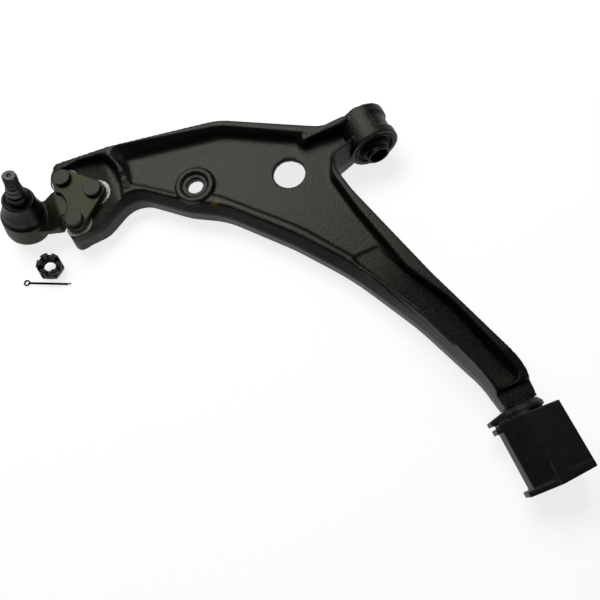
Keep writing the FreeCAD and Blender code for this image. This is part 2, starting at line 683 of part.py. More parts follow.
def cavity_top():
    """Height at which the mouth just clears the ball."""
    return math.sqrt((BALL_R + 2 * SEAT_GAP) ** 2 - MOUTH_R ** 2)


def shell_outer_r():
    return BALL_R + SEAT_GAP + SHELL_THICKNESS


def ball_joint_cover():
    return ring_z(COVER_R, 0, cover_height(), cover_height() + COVER_THICKNESS)


def preload_spring():
    return ring_z(CAVITY_R - SPRING_RIM_GAP, SPRING_HOLE_R, spring_height(), spring_height() + SPRING_THICKNESS)


def ball_pressure_seat():
    low = spring_height() + SPRING_THICKNESS
    block = ring_z(CAVITY_R - SEAT_FIT, DRAIN_R, low, SEAT_SPLIT - SEAT_SPLIT_GAP)
    return block.cut(Part.makeSphere(shell_outer_r() + SEAT_GAP, Vector(BALL_X, BALL_Y, BALL_Z)))


def ball_seat_upper():
    block = ring_z(CAVITY_R - SEAT_FIT, 0, SEAT_SPLIT, cavity_top())
    return block.cut(Part.makeSphere(BALL_R + SEAT_GAP, Vector(BALL_X, BALL_Y, BALL_Z)))


def bearing_shell():
    outer = Part.makeSphere(shell_outer_r())
    inner = Part.makeSphere(BALL_R + SEAT_GAP)
    rim = -shell_outer_r() * math.cos(math.radians(SHELL_REACH))
    below = Part.makeCylinder(2 * BALL_R, 2 * BALL_R, Vector(0, 0, rim - 2 * BALL_R))
    return at_ball(outer.cut(inner).common(below))


def ball_stud():
    thread_start = STUD_LENGTH - THREAD_LENGTH
    relief = THREAD_R - THREAD_RELIEF
    profile = [(0, BALL_R / 2), (STUD_NECK_R, BALL_R / 2), (STUD_NECK_R, STUD_NECK_END), (SHANK_R, SHANK_START),
               (SHANK_R, TAPER_START), (TAPER_SMALL_R, thread_start - 1.5), (relief, thread_start - 1.5),
               (relief, thread_start), (THREAD_R, thread_start + THREAD_RELIEF),
               (THREAD_R, STUD_LENGTH - TIP_CHAMFER), (THREAD_R - TIP_CHAMFER, STUD_LENGTH), (0, STUD_LENGTH)]
    stud = revolve_z(profile).fuse(Part.makeSphere(BALL_R))
    hole = Part.makeCylinder(COTTER_HOLE_R, 4 * THREAD_R,
                             Vector(-2 * THREAD_R, 0, STUD_LENGTH - COTTER_HOLE_FROM_TIP), Vector(1, 0, 0))
    hole.rotate(Vector(0, 0, 0), Vector(0, 0, 1), COTTER_HOLE_TURN)
    dimple = Part.makeCone(0, TIP_CENTRE_R, TIP_CENTRE_R, Vector(0, 0, STUD_LENGTH - TIP_CENTRE_R))
    return at_ball(stud.cut(hole).cut(dimple))


def boot_collar_ring():
    top = BOOT_LIP + COLLAR_RING_PROUD
    return ring_z(COLLAR_RING_R, SHANK_R + SEAT_GAP, top - COLLAR_RING_HEIGHT, top)


def boot_foot_top():
    return CUP_TOP + BOOT_FOOT_HEIGHT


def boot_wall_profile():
    """Outer face of the boot from foot to lip, and back down its inner face."""
    outer = []
    for height_share, radius_share in BOOT_PROFILE:
        outer.append((BOOT_LIP_R + radius_share * (boot_foot_r() - BOOT_LIP_R),
                      boot_foot_top() + height_share * (BOOT_LIP - boot_foot_top())))
    inner = [(radius - BOOT_WALL, height - BOOT_WALL / 2) for radius, height in reversed(outer[1:])]
    return outer + [(BOOT_LIP_R - BOOT_WALL, BOOT_LIP)] + inner


def clip_circle(radius):
    """Torus of the clip's wire, or of its slightly larger bed."""
    return at_ball(Part.makeTorus(boot_foot_r() + CLIP_WIRE_R - CLIP_SINK, radius,
                                  Vector(0, 0, CUP_TOP + BOOT_FOOT_HEIGHT / 2.0)))


def dust_boot():
    inner = spigot_r() + SEAT_GAP
    low = CUP_TOP + SEAT_GAP
    foot = ring_z(boot_foot_r(), inner, low, boot_foot_top())
    wall = at_ball(revolve_z(boot_wall_profile() + [(inner, boot_foot_top() - 1)]))
    bore = at_ball(cylinder_z(COLLAR_RING_R + SEAT_GAP, BOOT_LIP + COLLAR_RING_PROUD - COLLAR_RING_HEIGHT,
                              BOOT_LIP + COLLAR_RING_HEIGHT, 0, 0))
    return foot.fuse(wall).cut(bore).cut(clip_circle(CLIP_WIRE_R + CLIP_GAP))


def boot_clip():
    return clip_circle(CLIP_WIRE_R)


# ---------------------------------------------------------------- loose nut and pin
def ground_plane():
    """A point and the upward normal of the ground; the arm's eye, rear block and ball joint touch it."""
    eye = Vector(0, EYE_LENGTH / 2.0, -EYE_R)
    rear = Vector(REAR_RIDGE_X, REAR_END_Y, -REAR_HALF_HEIGHT)
    cup = Vector(BALL_X, BALL_Y, BALL_Z) + LEAN.multVec(Vector(-CUP_BOTTOM_R, 0, CUP_BOTTOM))
    normal = (cup - eye).cross(rear - eye)
    return eye, normal.normalize()


def on_ground(shape, x, y, turn, tilt, towards):
    """Turn and tilt a shape made about the origin, and stand its lowest point on the ground beside the arm."""
    lean_axis = Vector(-math.sin(math.radians(towards)), math.cos(math.radians(towards)), 0)
    own = Rotation(lean_axis, tilt).multiply(Rotation(Vector(0, 0, 1), turn))
    shape.Placement = Placement(Vector(0, 0, 0), own)
    lift = GROUND_GAP - shape.optimalBoundingBox(False).ZMin
    point, normal = ground_plane()
    z = point.z - ((x - point.x) * normal.x + (y - point.y) * normal.y) / normal.z
    flat = Rotation(Vector(0, 0, 1), normal)
    shape.Placement = Placement(Vector(x, y, z) + normal * lift, flat.multiply(own))
    return shape


def castle_nut():
    across_corners = NUT_FLATS / math.cos(math.radians(30))
    corners = []
    for k in range(6):
        angle = math.radians(60 * k)
        corners.append((across_corners / 2.0 * math.cos(angle), across_corners / 2.0 * math.sin(angle)))
    body_height = NUT_HEIGHT - NUT_CROWN_HEIGHT
    hexagon = prism_xy(corners, 0, body_height)
    lean = math.tan(math.radians(30))
    drop = (across_corners / 2.0 - NUT_FLATS * 0.475) * lean
    rounding = revolve_z([(0, 0), (NUT_FLATS * 0.475, 0), (across_corners / 2.0, drop),
                          (across_corners / 2.0, body_height - drop), (NUT_FLATS * 0.475, body_height),
                          (0, body_height)])
    crown = revolve_z([(0, 0), (NUT_CROWN_R, 0), (NUT_CROWN_R, NUT_HEIGHT - NUT_COUNTERSINK),
                       (NUT_CROWN_R - NUT_COUNTERSINK, NUT_HEIGHT), (0, NUT_HEIGHT)])
    nut = hexagon.common(rounding).fuse(crown)
    for k in range(3):
        slot = Part.makeBox(2 * NUT_FLATS, NUT_SLOT_WIDTH, NUT_CROWN_HEIGHT + 1,
                            Vector(-NUT_FLATS, -NUT_SLOT_WIDTH / 2.0, body_height))
        slot.rotate(Vector(0, 0, 0), Vector(0, 0, 1), 60 * k + 30)
        nut = nut.cut(slot)
    nut = nut.cut(revolve_z([(0, -1), (NUT_BORE_R + NUT_COUNTERSINK + 1, -1), (NUT_BORE_R, NUT_COUNTERSINK),
                             (NUT_BORE_R, body_height), (NUT_CROWN_BORE_R, body_height + 0.5),
                             (NUT_CROWN_BORE_R, NUT_HEIGHT + 1), (0, NUT_HEIGHT + 1)]))
    return on_ground(nut.removeSplitter(), NUT_X, NUT_Y, NUT_TURN, NUT_TILT, NUT_TILT_TOWARDS)


def half_round(radius, x0, x1, side):
    """Half-round bar along X; its flat faces the split of the pin."""
    bar = Part.makeCylinder(radius, x1 - x0, Vector(x0, 0, 0), Vector(1, 0, 0))
    low_y = PIN_LEG_GAP if side > 0 else -PIN_LEG_GAP - 2 * radius
    keep = Part.makeBox(x1 - x0, 2 * radius, 4 * radius, Vector(x0, low_y, -2 * radius))
    return bar.common(keep)


def cotter_pin():
    flat_r = PIN_EYE_R - PIN_R
    arc = Part.Arc(Vector(flat_r, 0, -PIN_R), Vector(PIN_EYE_R, 0, 0), Vector(flat_r, 0, PIN_R)).toShape()
    chord = Part.LineSegment(Vector(flat_r, 0, PIN_R), Vector(flat_r, 0, -PIN_R)).toShape()
    section = Part.Face(Part.Wire([arc, chord]))
    eye = section.revolve(Vector(0, 0, 0), Vector(0, 0, 1), 360)
    start = math.sqrt(PIN_EYE_R ** 2 - PIN_R ** 2) - 0.5
    long_leg = half_round(PIN_R, start, PIN_LENGTH, 1)
    short_leg = half_round(PIN_R, start, PIN_LENGTH - 3.0, -1)
    pin = eye.fuse([long_leg, short_leg]).removeSplitter()
    return on_ground(pin, PIN_EYE_X, PIN_EYE_Y, PIN_TURN, 0.0, 0.0)


PIECES = [
    ("arm_forging", arm_forging),
    ("front_bush_outer_sleeve", front_bush_outer_sleeve),
    ("front_bush_rubber", front_bush_rubber),
    ("front_bush_inner_sleeve", front_bush_inner_sleeve),
    ("rear_bush_inner_sleeve", rear_bush_inner_sleeve),
    ("rear_bush_block", rear_bush_block),
    ("ball_joint_housing", ball_joint_housing),
    ("ball_joint_rivets", ball_joint_rivets),
    ("ball_joint_cover", ball_joint_cover),
    ("preload_spring", preload_spring),
    ("ball_pressure_seat", ball_pressure_seat),
    ("ball_seat_upper", ball_seat_upper),
    ("bearing_shell", bearing_shell),
    ("ball_stud", ball_stud),
    ("boot_collar_ring", boot_collar_ring),
    ("dust_boot", dust_boot),
    ("boot_clip", boot_clip),
    ("castle_nut", castle_nut),
    ("cotter_pin", cotter_pin),
]

if __name__ == "__main__":
    os.makedirs("parts", exist_ok=True)
    for name, make in PIECES:
        shape = make()
        print(name, len(shape.Solids), "solid(s)", "valid" if shape.isValid() else "NOT VALID",
              "volume", round(shape.Volume), "mm3")
        shape.exportStep("parts/" + name + ".step")
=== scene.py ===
# %% [markdown]
# A lower control arm of a front suspension, lying on a pale sheet with its ball stud up.
# The solid model fixes every size and place.  This file adds what a solid model leaves out: softened
# casting corners, rubber that bulges, threads, and the finishes of paint, phosphate, rubber and steel.

# %% Load the frame
import json
import math

import bmesh
import bpy
import numpy as np
from mathutils import Matrix, Vector


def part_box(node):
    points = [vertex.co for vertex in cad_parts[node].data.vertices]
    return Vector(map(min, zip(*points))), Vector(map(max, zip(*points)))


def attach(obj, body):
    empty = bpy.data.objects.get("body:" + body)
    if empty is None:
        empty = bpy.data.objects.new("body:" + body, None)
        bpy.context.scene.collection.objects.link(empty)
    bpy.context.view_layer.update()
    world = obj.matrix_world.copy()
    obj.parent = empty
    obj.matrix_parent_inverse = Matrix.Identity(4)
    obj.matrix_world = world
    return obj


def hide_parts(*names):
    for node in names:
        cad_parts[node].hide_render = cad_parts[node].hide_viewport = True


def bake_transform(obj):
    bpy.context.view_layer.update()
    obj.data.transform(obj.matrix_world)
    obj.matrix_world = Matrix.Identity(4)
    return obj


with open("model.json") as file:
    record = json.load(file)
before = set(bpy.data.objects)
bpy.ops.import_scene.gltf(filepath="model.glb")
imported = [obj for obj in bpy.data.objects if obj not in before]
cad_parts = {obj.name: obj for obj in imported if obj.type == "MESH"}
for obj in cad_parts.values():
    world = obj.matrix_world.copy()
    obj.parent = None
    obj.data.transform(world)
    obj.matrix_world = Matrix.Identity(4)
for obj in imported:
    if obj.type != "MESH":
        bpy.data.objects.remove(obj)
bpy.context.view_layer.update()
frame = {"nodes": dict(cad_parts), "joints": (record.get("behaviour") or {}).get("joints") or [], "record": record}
MM = 0.001
joints = {joint["name"]: joint for joint in frame["joints"]}

# %% [markdown]
# The view comes first.  It looks down on the arm from behind the rear bush, with the ball joint to the left.
# The lens is wide because the camera stands near.

# %% Camera
camera_data = bpy.data.cameras.new("view_camera")
camera_data.sensor_width = 36
camera_data.lens = 36          # as long as the sensor is wide: a field of 53 degrees
camera_data.clip_start = 0.01
camera_data.clip_end = 20
camera = bpy.data.objects.new("view_camera", camera_data)
bpy.context.scene.collection.objects.link(camera)
STAND = Vector((131.3, 285.7, 463.3)) * MM
side = Vector((-0.9135, 0.3911, -0.1120)).normalized()
back = Vector((0.0305, 0.3404, 0.9398))
back = (back - side * back.dot(side)).normalized()
turn = Matrix((side, back.cross(side), back)).transposed().to_4x4()
camera.matrix_world = Matrix.Translation(STAND) @ turn
bpy.context.scene.camera = camera
bpy.context.scene.view_settings.view_transform = "Standard"
print("camera stands", round(camera.location.length, 3), "m from the front bush")

# %% [markdown]
# Black satin paint shows little colour of its own.  What the eye reads is what it mirrors, so one long
# soft lamp stands beyond the front edge and brightens the level faces, while the air above stays dim and
# leaves the leg and the rims black.  Two weak lamps, one at the bushes' side and one low in front, keep
# the upright faces from going quite dark.

# %% Light
CENTRE = Vector((120, 60, 0)) * MM


def soft_lamp(name, away, width, depth, watts):
    """A rectangular lamp that stands away from the arm's middle and faces it; lengths in metres."""
    data = bpy.data.lights.new(name, "AREA")
    data.shape = "RECTANGLE"
    data.size = width
    data.size_y = depth
    data.energy = watts
    lamp = bpy.data.objects.new(name, data)
    bpy.context.scene.collection.objects.link(lamp)
    lamp.location = CENTRE + Vector(away)
    lamp.rotation_euler = (-Vector(away)).to_track_quat("-Z", "Y").to_euler()


soft_lamp("front_lamp", (0.06, -0.82, 1.20), 1.25, 0.66, 8.6)
soft_lamp("side_lamp", (-1.1, -0.4, 0.5), 0.5, 0.9, 0.5)
soft_lamp("low_lamp", (0.25, -1.25, 0.42), 1.2, 0.45, 1.6)
world = bpy.data.worlds.new("dim_room")
world.use_nodes = True
air = world.node_tree.nodes["Background"]
air.inputs["Color"].default_value = (0.9, 0.95, 1.0, 1)
air.inputs["Strength"].default_value = 0.075
bpy.context.scene.world = world

# %% [markdown]
# A material is a small tree of nodes.  One helper adds a node, sets its options and fills or links its
# inputs, and one function turns the usual hex colour into the linear values that the shaders work in.

# %% Node helpers


def linear(code):
    """A hex colour as linear red, green and blue, with alpha 1."""
    parts = [int(code[i:i + 2], 16) / 255 for i in (1, 3, 5)]
    return tuple(c / 12.92 if c <= 0.04045 else ((c + 0.055) / 1.055) ** 2.4 for c in parts) + (1.0,)


def add(tree, kind, options=None, inputs=None):
    """Add one node; options are its settings, inputs are values or sockets by name or number."""
    node = tree.nodes.new(kind)
    for key, value in (options or {}).items():
        setattr(node, key, value)
    for key, value in (inputs or {}).items():
        if isinstance(value, bpy.types.NodeSocket):
            tree.links.new(value, node.inputs[key])
        else:
            node.inputs[key].default_value = value
    return node


def new_material(name, **sockets):
    """A material, its tree, its Principled shader, and the part's own coordinates in metres."""
    material = bpy.data.materials.new(name)
    material.use_nodes = True
    tree = material.node_tree
    shader = tree.nodes["Principled BSDF"]
    for key, value in sockets.items():
        shader.inputs[key.replace("_", " ")].default_value = value
    place = add(tree, "ShaderNodeTexCoord").outputs["Object"]
    return material, tree, shader, place


def per_metre(size_mm):
    """Noise scale whose blobs are about this many millimetres across."""
    return 1.0 / (size_mm * MM)


def noise(tree, place, size_mm, detail=2.0, rough=0.5):
    """Blobs of this size, as a value that stays mostly within 0.3 to 0.7."""
    scale = {"Vector": place, "Scale": per_metre(size_mm), "Detail": detail, "Roughness": rough}
    return add(tree, "ShaderNodeTexNoise", None, scale).outputs["Fac"]


def ramp(tree, value, low, high, to_low=0.0, to_high=1.0):
    """Spread low..high over to_low..to_high, with soft ends."""
    sockets = {"Value": value, "From Min": low, "From Max": high, "To Min": to_low, "To Max": to_high}
    return add(tree, "ShaderNodeMapRange", {"interpolation_type": "SMOOTHSTEP"}, sockets).outputs["Result"]


def maths(tree, operation, a, b=0.0):
    """One sum, product or the like of two values."""
    return add(tree, "ShaderNodeMath", {"operation": operation}, {0: a, 1: b}).outputs[0]


def blend_colour(tree, share, a, b):
    """Colour a at share 0, colour b at share 1."""
    mixed = add(tree, "ShaderNodeMix", {"data_type": "RGBA"}, {0: share, 6: a, 7: b})
    return mixed.outputs[2]


def blend_value(tree, share, a, b):
    """Value a at share 0, value b at share 1."""
    return add(tree, "ShaderNodeMix", None, {0: share, 2: a, 3: b}).outputs[0]


def emboss(tree, shader, height, depth_mm):
    """Feed a 0..1 height to the shader as relief of this depth, on top of any relief before it."""
    sockets = {"Height": height, "Distance": depth_mm * MM, "Strength": 1.0}
    linked = shader.inputs["Normal"].links
    if linked:
        sockets["Normal"] = linked[0].from_socket
    relief = add(tree, "ShaderNodeBump", None, sockets)
    tree.links.new(relief.outputs["Normal"], shader.inputs["Normal"])


def along(tree, place, direction):
    """How far a point lies along a direction, in metres."""
    return add(tree, "ShaderNodeVectorMath", {"operation": "DOT_PRODUCT"},
               {0: place, 1: direction}).outputs["Value"]


def distance_to(tree, place, point, flat=True):
    """Distance from a point, in metres; flat ignores height."""
    keep = (1, 1, 0) if flat else (1, 1, 1)
    level = add(tree, "ShaderNodeVectorMath", {"operation": "MULTIPLY"}, {0: place, 1: keep}).outputs[0]
    centre = tuple(p * k for p, k in zip(point, keep))
    return add(tree, "ShaderNodeVectorMath", {"operation": "DISTANCE"},
               {0: level, 1: centre}).outputs["Value"]


print("white is", linear("#ffffff"))

# %% [markdown]
# The sheet under the arm is seamless paper that curves up behind it.  It is turned to the plane that the
# eye, the rear bush and the ball joint rest on.  Lamps alone leave paper grey, so the camera and mirrors
# see it a little brighter than it is, and it still takes the arm's shadow.

# %% Paper sheet
SHEET_FLAT = 1.2        # metres from the middle to where the paper starts to rise
SHEET_BEND = 0.5        # radius of its rise
SHEET_TOP = 1.3
SHEET_SIDES = 96


def lowest_point(node):
    corners = np.array([v.co for v in frame["nodes"][node].data.vertices])
    return Vector(corners[corners[:, 2].argmin()])


def resting_plane():
    """Centre and upward normal of the surface that the arm lies on."""
    eye = Vector((0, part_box("front_bush_outer_sleeve")[1].y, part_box("arm_forging")[0].z))
    rear = lowest_point("rear_bush_block")
    rear.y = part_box("rear_bush_block")[1].y
    cup = lowest_point("ball_joint_housing")
    normal = (cup - eye).cross(rear - eye).normalized()
    return eye, normal if normal.z > 0 else -normal


def paper_material():
    """Matt white paper with painted shade: colour and glow fall to grey behind, for satin paint to mirror."""
    material, tree, shader, place = new_material("seamless_paper", Roughness=0.9)
    fibre = noise(tree, place, 6.0)
    shade = blend_colour(tree, fibre, linear("#c4c4c2"), linear("#cbcbc9"))
    # painted shade: far from the middle the paper turns dark grey and nearly stops glowing, as if the light fell
    # off there
    behind = ramp(tree, distance_to(tree, place, tuple(CENTRE), False), 0.75, 1.15)
    tree.links.new(blend_colour(tree, behind, shade, linear("#353535")), shader.inputs["Base Color"])
    rays = add(tree, "ShaderNodeLightPath")
    mirrored = maths(tree, "MULTIPLY", rays.outputs["Is Glossy Ray"], 0.6)
    seen = maths(tree, "MAXIMUM", rays.outputs["Is Camera Ray"], mirrored)
    seen = maths(tree, "MAXIMUM", seen, rays.outputs["Is Transmission Ray"])
    shader.inputs["Emission Color"].default_value = (1, 1, 1, 1)
    glow = blend_value(tree, behind, 0.80, 0.04)
    tree.links.new(maths(tree, "MULTIPLY", seen, glow), shader.inputs["Emission Strength"])
    return material


def paper_sheet():
    """A round sheet, flat in the middle and curving up at its rim."""
    rows = [(0.0, 0.0), (SHEET_FLAT, 0.0)]
    for a in np.linspace(0.1, math.pi / 2, 12):
        rows.append((SHEET_FLAT + SHEET_BEND * math.sin(a), SHEET_BEND - SHEET_BEND * math.cos(a)))
    rows.append((SHEET_FLAT + SHEET_BEND, SHEET_TOP))
    bm = bmesh.new()
    rings = []
    for radius, height in rows:
        ring = [bm.verts.new((radius * math.cos(t), radius * math.sin(t), height))
                for t in np.linspace(0, 2 * math.pi, SHEET_SIDES + 1)[:-1]]
        rings.append(ring)
    for low, high in zip(rings, rings[1:]):
        for i in range(SHEET_SIDES):
            j = (i + 1) % SHEET_SIDES
            bm.faces.new((low[i], low[j], high[j], high[i]))
    bmesh.ops.remove_doubles(bm, verts=bm.verts, dist=1e-6)
    mesh = bpy.data.meshes.new("paper_sheet")
    bm.to_mesh(mesh)
    bm.free()
    point, normal = resting_plane()
    tilt = Vector((0, 0, 1)).rotation_difference(normal).to_matrix().to_4x4()
    centre = CENTRE + Vector((0, 0, 1)) * ((point - CENTRE).dot(normal) / normal.z)
    mesh.transform(Matrix.Translation(centre) @ tilt)
    for face in mesh.polygons:
        face.use_smooth = True
    sheet = bpy.data.objects.new("paper_sheet", mesh)
    bpy.context.scene.collection.objects.link(sheet)
    mesh.materials.append(paper_material())


paper_sheet()
print("resting plane leans", [round(v, 4) for v in resting_plane()[1]])

# %% [markdown]
# The arm is ductile iron, cast in a sand mould and dipped in satin black enamel.  The enamel is nearly
# black; its satin skin does the rest.  Sand leaves a grain of two or three millimetres that the thick
# paint softens on the web and leaves standing in the leg and round the flange, where the mould was
# rammed by hand.  Three round pads were milled bright after casting, and only a rim of each shows beside
# the riveted flange.

# %% Rivet places
RIVET_SPREAD = 17.0      # points within this of a rivet's point belong to the same rivet


def islands(node):
    """Centres of the separate solids of a node, by the boxes of their points."""
    points = np.array([v.co for v in frame["nodes"][node].data.vertices])
    centres = []
    while len(points):
        near = np.hypot(points[:, 0] - points[0, 0], points[:, 1] - points[0, 1])
        near = near < RIVET_SPREAD * MM
        group = points[near]
        centres.append(Vector((group.min(0) + group.max(0)) / 2))
        points = points[~near]
    return centres


rivet_centres = islands("ball_joint_rivets")
rivet_low, rivet_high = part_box("ball_joint_rivets")
print("rivets at, mm:", [[round(v / MM, 1) for v in c] for c in rivet_centres])

# %% Cast iron in black enamel
PAD_RADIUS = 13.2
PAD_HEIGHT = 6.0
PAD_EDGE = 0.25                      # half the width of the paint's edge
CUTTER_FEED = 0.7                    # from one cutter ring to the next
OUT_ALONG_LEG = (-0.364, 0.931, 0)   # square to the line where the leg's rough floor begins
LEG_STEP = (72.4, 73.4)              # that line's place along this direction
LEG_GRAIN = (72, 135)                # the grain grows over this stretch
FLOOR_TOP = (7.0, 9.5)               # floors lie below, rims above
FLANGE_FLOOR_X = (224, 232)
DAUB = (149.5, 7.0, 4.0)
DAUB_SQUEEZE = (0.36, 0.9, 0.5)      # makes a round daub long in X


def enamel_on_casting():
    """Black enamel with sand grain, bare milled pads and a worn daub."""
    material, tree, shader, place = new_material("black_enamel_on_cast_iron", Roughness=0.42,
                                                 Specular_Tint=(1.0, 1.0, 0.88, 1))
    split = add(tree, "ShaderNodeSeparateXYZ", None, {0: place})
    height = split.outputs["Z"]
    facing = add(tree, "ShaderNodeSeparateXYZ", None,
                 {0: add(tree, "ShaderNodeNewGeometry").outputs["Normal"]}).outputs["Z"]
    broad = noise(tree, place, 38.0, 3.0)
    paint = blend_colour(tree, broad, linear("#0e0e0c"), linear("#141411"))

    # the rammed part of the leg starts at a slanting line across the channel
    outward = along(tree, place, OUT_ALONG_LEG)
    step = ramp(tree, outward, LEG_STEP[0] * MM, LEG_STEP[1] * MM)
    leg = maths(tree, "MULTIPLY", step, ramp(tree, outward, LEG_GRAIN[0] * MM, LEG_GRAIN[1] * MM))
    low = ramp(tree, height, FLOOR_TOP[1] * MM, FLOOR_TOP[0] * MM)
    flange_floor = ramp(tree, split.outputs["X"], FLANGE_FLOOR_X[0] * MM, FLANGE_FLOOR_X[1] * MM, 0.0, 0.8)
    rough_places = maths(tree, "MAXIMUM", leg, flange_floor)
    inside = maths(tree, "MULTIPLY", rough_places, low)
    inside = maths(tree, "MULTIPLY", inside, ramp(tree, facing, 0.2, 0.6))

    # bare pads round the rivets, with rings left by the milling cutter
    nearest = None
    for centre in rivet_centres:
        gap = distance_to(tree, place, centre)
        nearest = gap if nearest is None else maths(tree, "MINIMUM", nearest, gap)
    pad = ramp(tree, nearest, (PAD_RADIUS + PAD_EDGE) * MM, (PAD_RADIUS - PAD_EDGE) * MM)
    above = ramp(tree, height, (PAD_HEIGHT - 2.2) * MM, (PAD_HEIGHT - 1.4) * MM)
    below = ramp(tree, height, (PAD_HEIGHT + 1.6) * MM, (PAD_HEIGHT + 1.2) * MM)
    level = maths(tree, "MULTIPLY", above, below)
    pad = maths(tree, "MULTIPLY", maths(tree, "MULTIPLY", pad, level), ramp(tree, facing, 0.55, 0.8))
    rings = maths(tree, "SINE", maths(tree, "MULTIPLY", nearest, 2 * math.pi / (CUTTER_FEED * MM)))

    # a daub of inspector's yellow on the low rim, worn to brown
    stretched = add(tree, "ShaderNodeVectorMath", {"operation": "MULTIPLY"},
                    {0: place, 1: DAUB_SQUEEZE}).outputs[0]
    middle = (DAUB[0] * DAUB_SQUEEZE[0] * MM, DAUB[1] * DAUB_SQUEEZE[1] * MM, DAUB[2] * MM)
    daub_gap = distance_to(tree, stretched, middle, False)
    ragged = maths(tree, "MULTIPLY", noise(tree, place, 2.2, 4.0), 4.4 * MM)
    daub = ramp(tree, maths(tree, "ADD", daub_gap, ragged), 4.9 * MM, 3.6 * MM, 0.0, 0.8)
    paint = blend_colour(tree, daub, paint, linear("#6a5630"))

    colour = blend_colour(tree, pad, paint, linear("#ecebe6"))
    tree.links.new(colour, shader.inputs["Base Color"])
    tree.links.new(pad, shader.inputs["Metallic"])
    satin = blend_value(tree, noise(tree, place, 3.0, 4.0), 0.32, 0.44)
    satin = blend_value(tree, inside, satin, 0.48)
    tree.links.new(blend_value(tree, pad, satin, 0.30), shader.inputs["Roughness"])

    painted = maths(tree, "SUBTRACT", 1.0, pad)
    fine = maths(tree, "MULTIPLY", noise(tree, place, 2.2, 4.0, 0.65), painted)
    emboss(tree, shader, fine, 0.42)
    coarse = maths(tree, "MULTIPLY", noise(tree, place, 3.0, 4.0, 0.7), inside)
    emboss(tree, shader, coarse, 2.0)
    emboss(tree, shader, maths(tree, "MULTIPLY", step, low), 0.25)
    emboss(tree, shader, maths(tree, "MULTIPLY", rings, pad), 0.02)
    return material


enamel = enamel_on_casting()
print("made", enamel.name)

# %% [markdown]
# The ball joint's housing and rivets are forged steel with a zinc phosphate coat under oil: olive grey,
# matt and faintly mottled by its crystals, which are drawn about a millimetre across so that they show.

# %% Phosphated steel


def phosphate(name, dark, light, roughness, tint):
    """A dull crystalline coat on steel; the tint colours its sheen."""
    material, tree, shader, place = new_material(name, Roughness=roughness, Specular_Tint=tint)
    crystals = noise(tree, place, 1.0, 4.0, 0.65)
    patches = noise(tree, place, 9.0, 2.0)
    mixed = blend_value(tree, 0.5, crystals, patches)
    colour = blend_colour(tree, ramp(tree, mixed, 0.3, 0.7), linear(dark), linear(light))
    tree.links.new(colour, shader.inputs["Base Color"])
    tree.links.new(blend_value(tree, crystals, roughness - 0.08, roughness + 0.1), shader.inputs["Roughness"])
    emboss(tree, shader, crystals, 0.03)
    return material


forging_finish = phosphate("zinc_phosphate_on_steel", "#22221a", "#2c2c22", 0.44, (1.0, 1.0, 0.66, 1))
rivet_finish = phosphate("phosphated_rivet_steel", "#22221f", "#2e2e29", 0.44, (1.0, 1.0, 0.86, 1))
print("made", forging_finish.name, "and", rivet_finish.name)

# %% [markdown]
# Rubbers: natural rubber moulded round the front bush, matt with the mould's fine sparked texture, the
# same for the rear block, where the mould left a low fold, and the thinner, slightly shiny neoprene of
# the dust boot, greyed by talc from its mould.

# %% Rubbers


def rubber(name, dark, light, roughness, grain_mm, relief_mm):
    """Black rubber with a greyish bloom and the mould's grain."""
    material, tree, shader, place = new_material(name, Roughness=roughness)
    bloom = noise(tree, place, 7.0, 3.0, 0.6)
    tree.links.new(blend_colour(tree, ramp(tree, bloom, 0.35, 0.75), linear(dark), linear(light)),
                   shader.inputs["Base Color"])
    grain = noise(tree, place, grain_mm, 2.0)
    tree.links.new(blend_value(tree, bloom, roughness - 0.07, roughness + 0.07), shader.inputs["Roughness"])
    emboss(tree, shader, grain, relief_mm)
    return material


bush_rubber = rubber("moulded_natural_rubber", "#0d0d0c", "#161615", 0.50, 0.8, 0.05)
boot_rubber = rubber("neoprene_boot_rubber", "#0d0d0d", "#171717", 0.43, 1.2, 0.04)


FOLD_Y = 317.0          # the fold runs straight along here and then turns off at a slant
FOLD_SLANT = -0.85
FOLD_SLANT_Y = 314.1
FOLD_DEPTH = 1.4


def folded_block_rubber():
    """The rear block's rubber, with the low fold that its mould leaves near the end flange."""
    material = rubber("moulded_block_rubber", "#0e0e0d", "#181817", 0.46, 0.9, 0.06)
    tree = material.node_tree
    place = add(tree, "ShaderNodeTexCoord").outputs["Object"]
    split = add(tree, "ShaderNodeSeparateXYZ", None, {0: place})
    slant = maths(tree, "MULTIPLY", split.outputs["X"], FOLD_SLANT)
    slant = maths(tree, "ADD", slant, FOLD_SLANT_Y * MM)
    fold_line = maths(tree, "MINIMUM", slant, FOLD_Y * MM)
    beyond = ramp(tree, maths(tree, "SUBTRACT", split.outputs["Y"], fold_line), -0.7 * MM, 0.7 * MM)
    on_top = ramp(tree, split.outputs["Z"], 18.5 * MM, 19.2 * MM)
    emboss(tree, tree.nodes["Principled BSDF"], maths(tree, "MULTIPLY", beyond, on_top), FOLD_DEPTH)
    return material


block_rubber = folded_block_rubber()
print("made", bush_rubber.name, boot_rubber.name, "and", block_rubber.name)

# %% [markdown]
# Steels.  The stud is turned, hardened and ground, so its marks run round its axis; the sleeves are dull
# drawn tube; the nut is blackened, and the split pin has a matt black oxide under oil.  The seats of the
# ball are moulded acetal.

# %% Steels
spin = joints["stud_spin"]
STUD_AXIS = Vector(spin["axis"]).normalized()
BALL = Vector(spin["pos_m"])


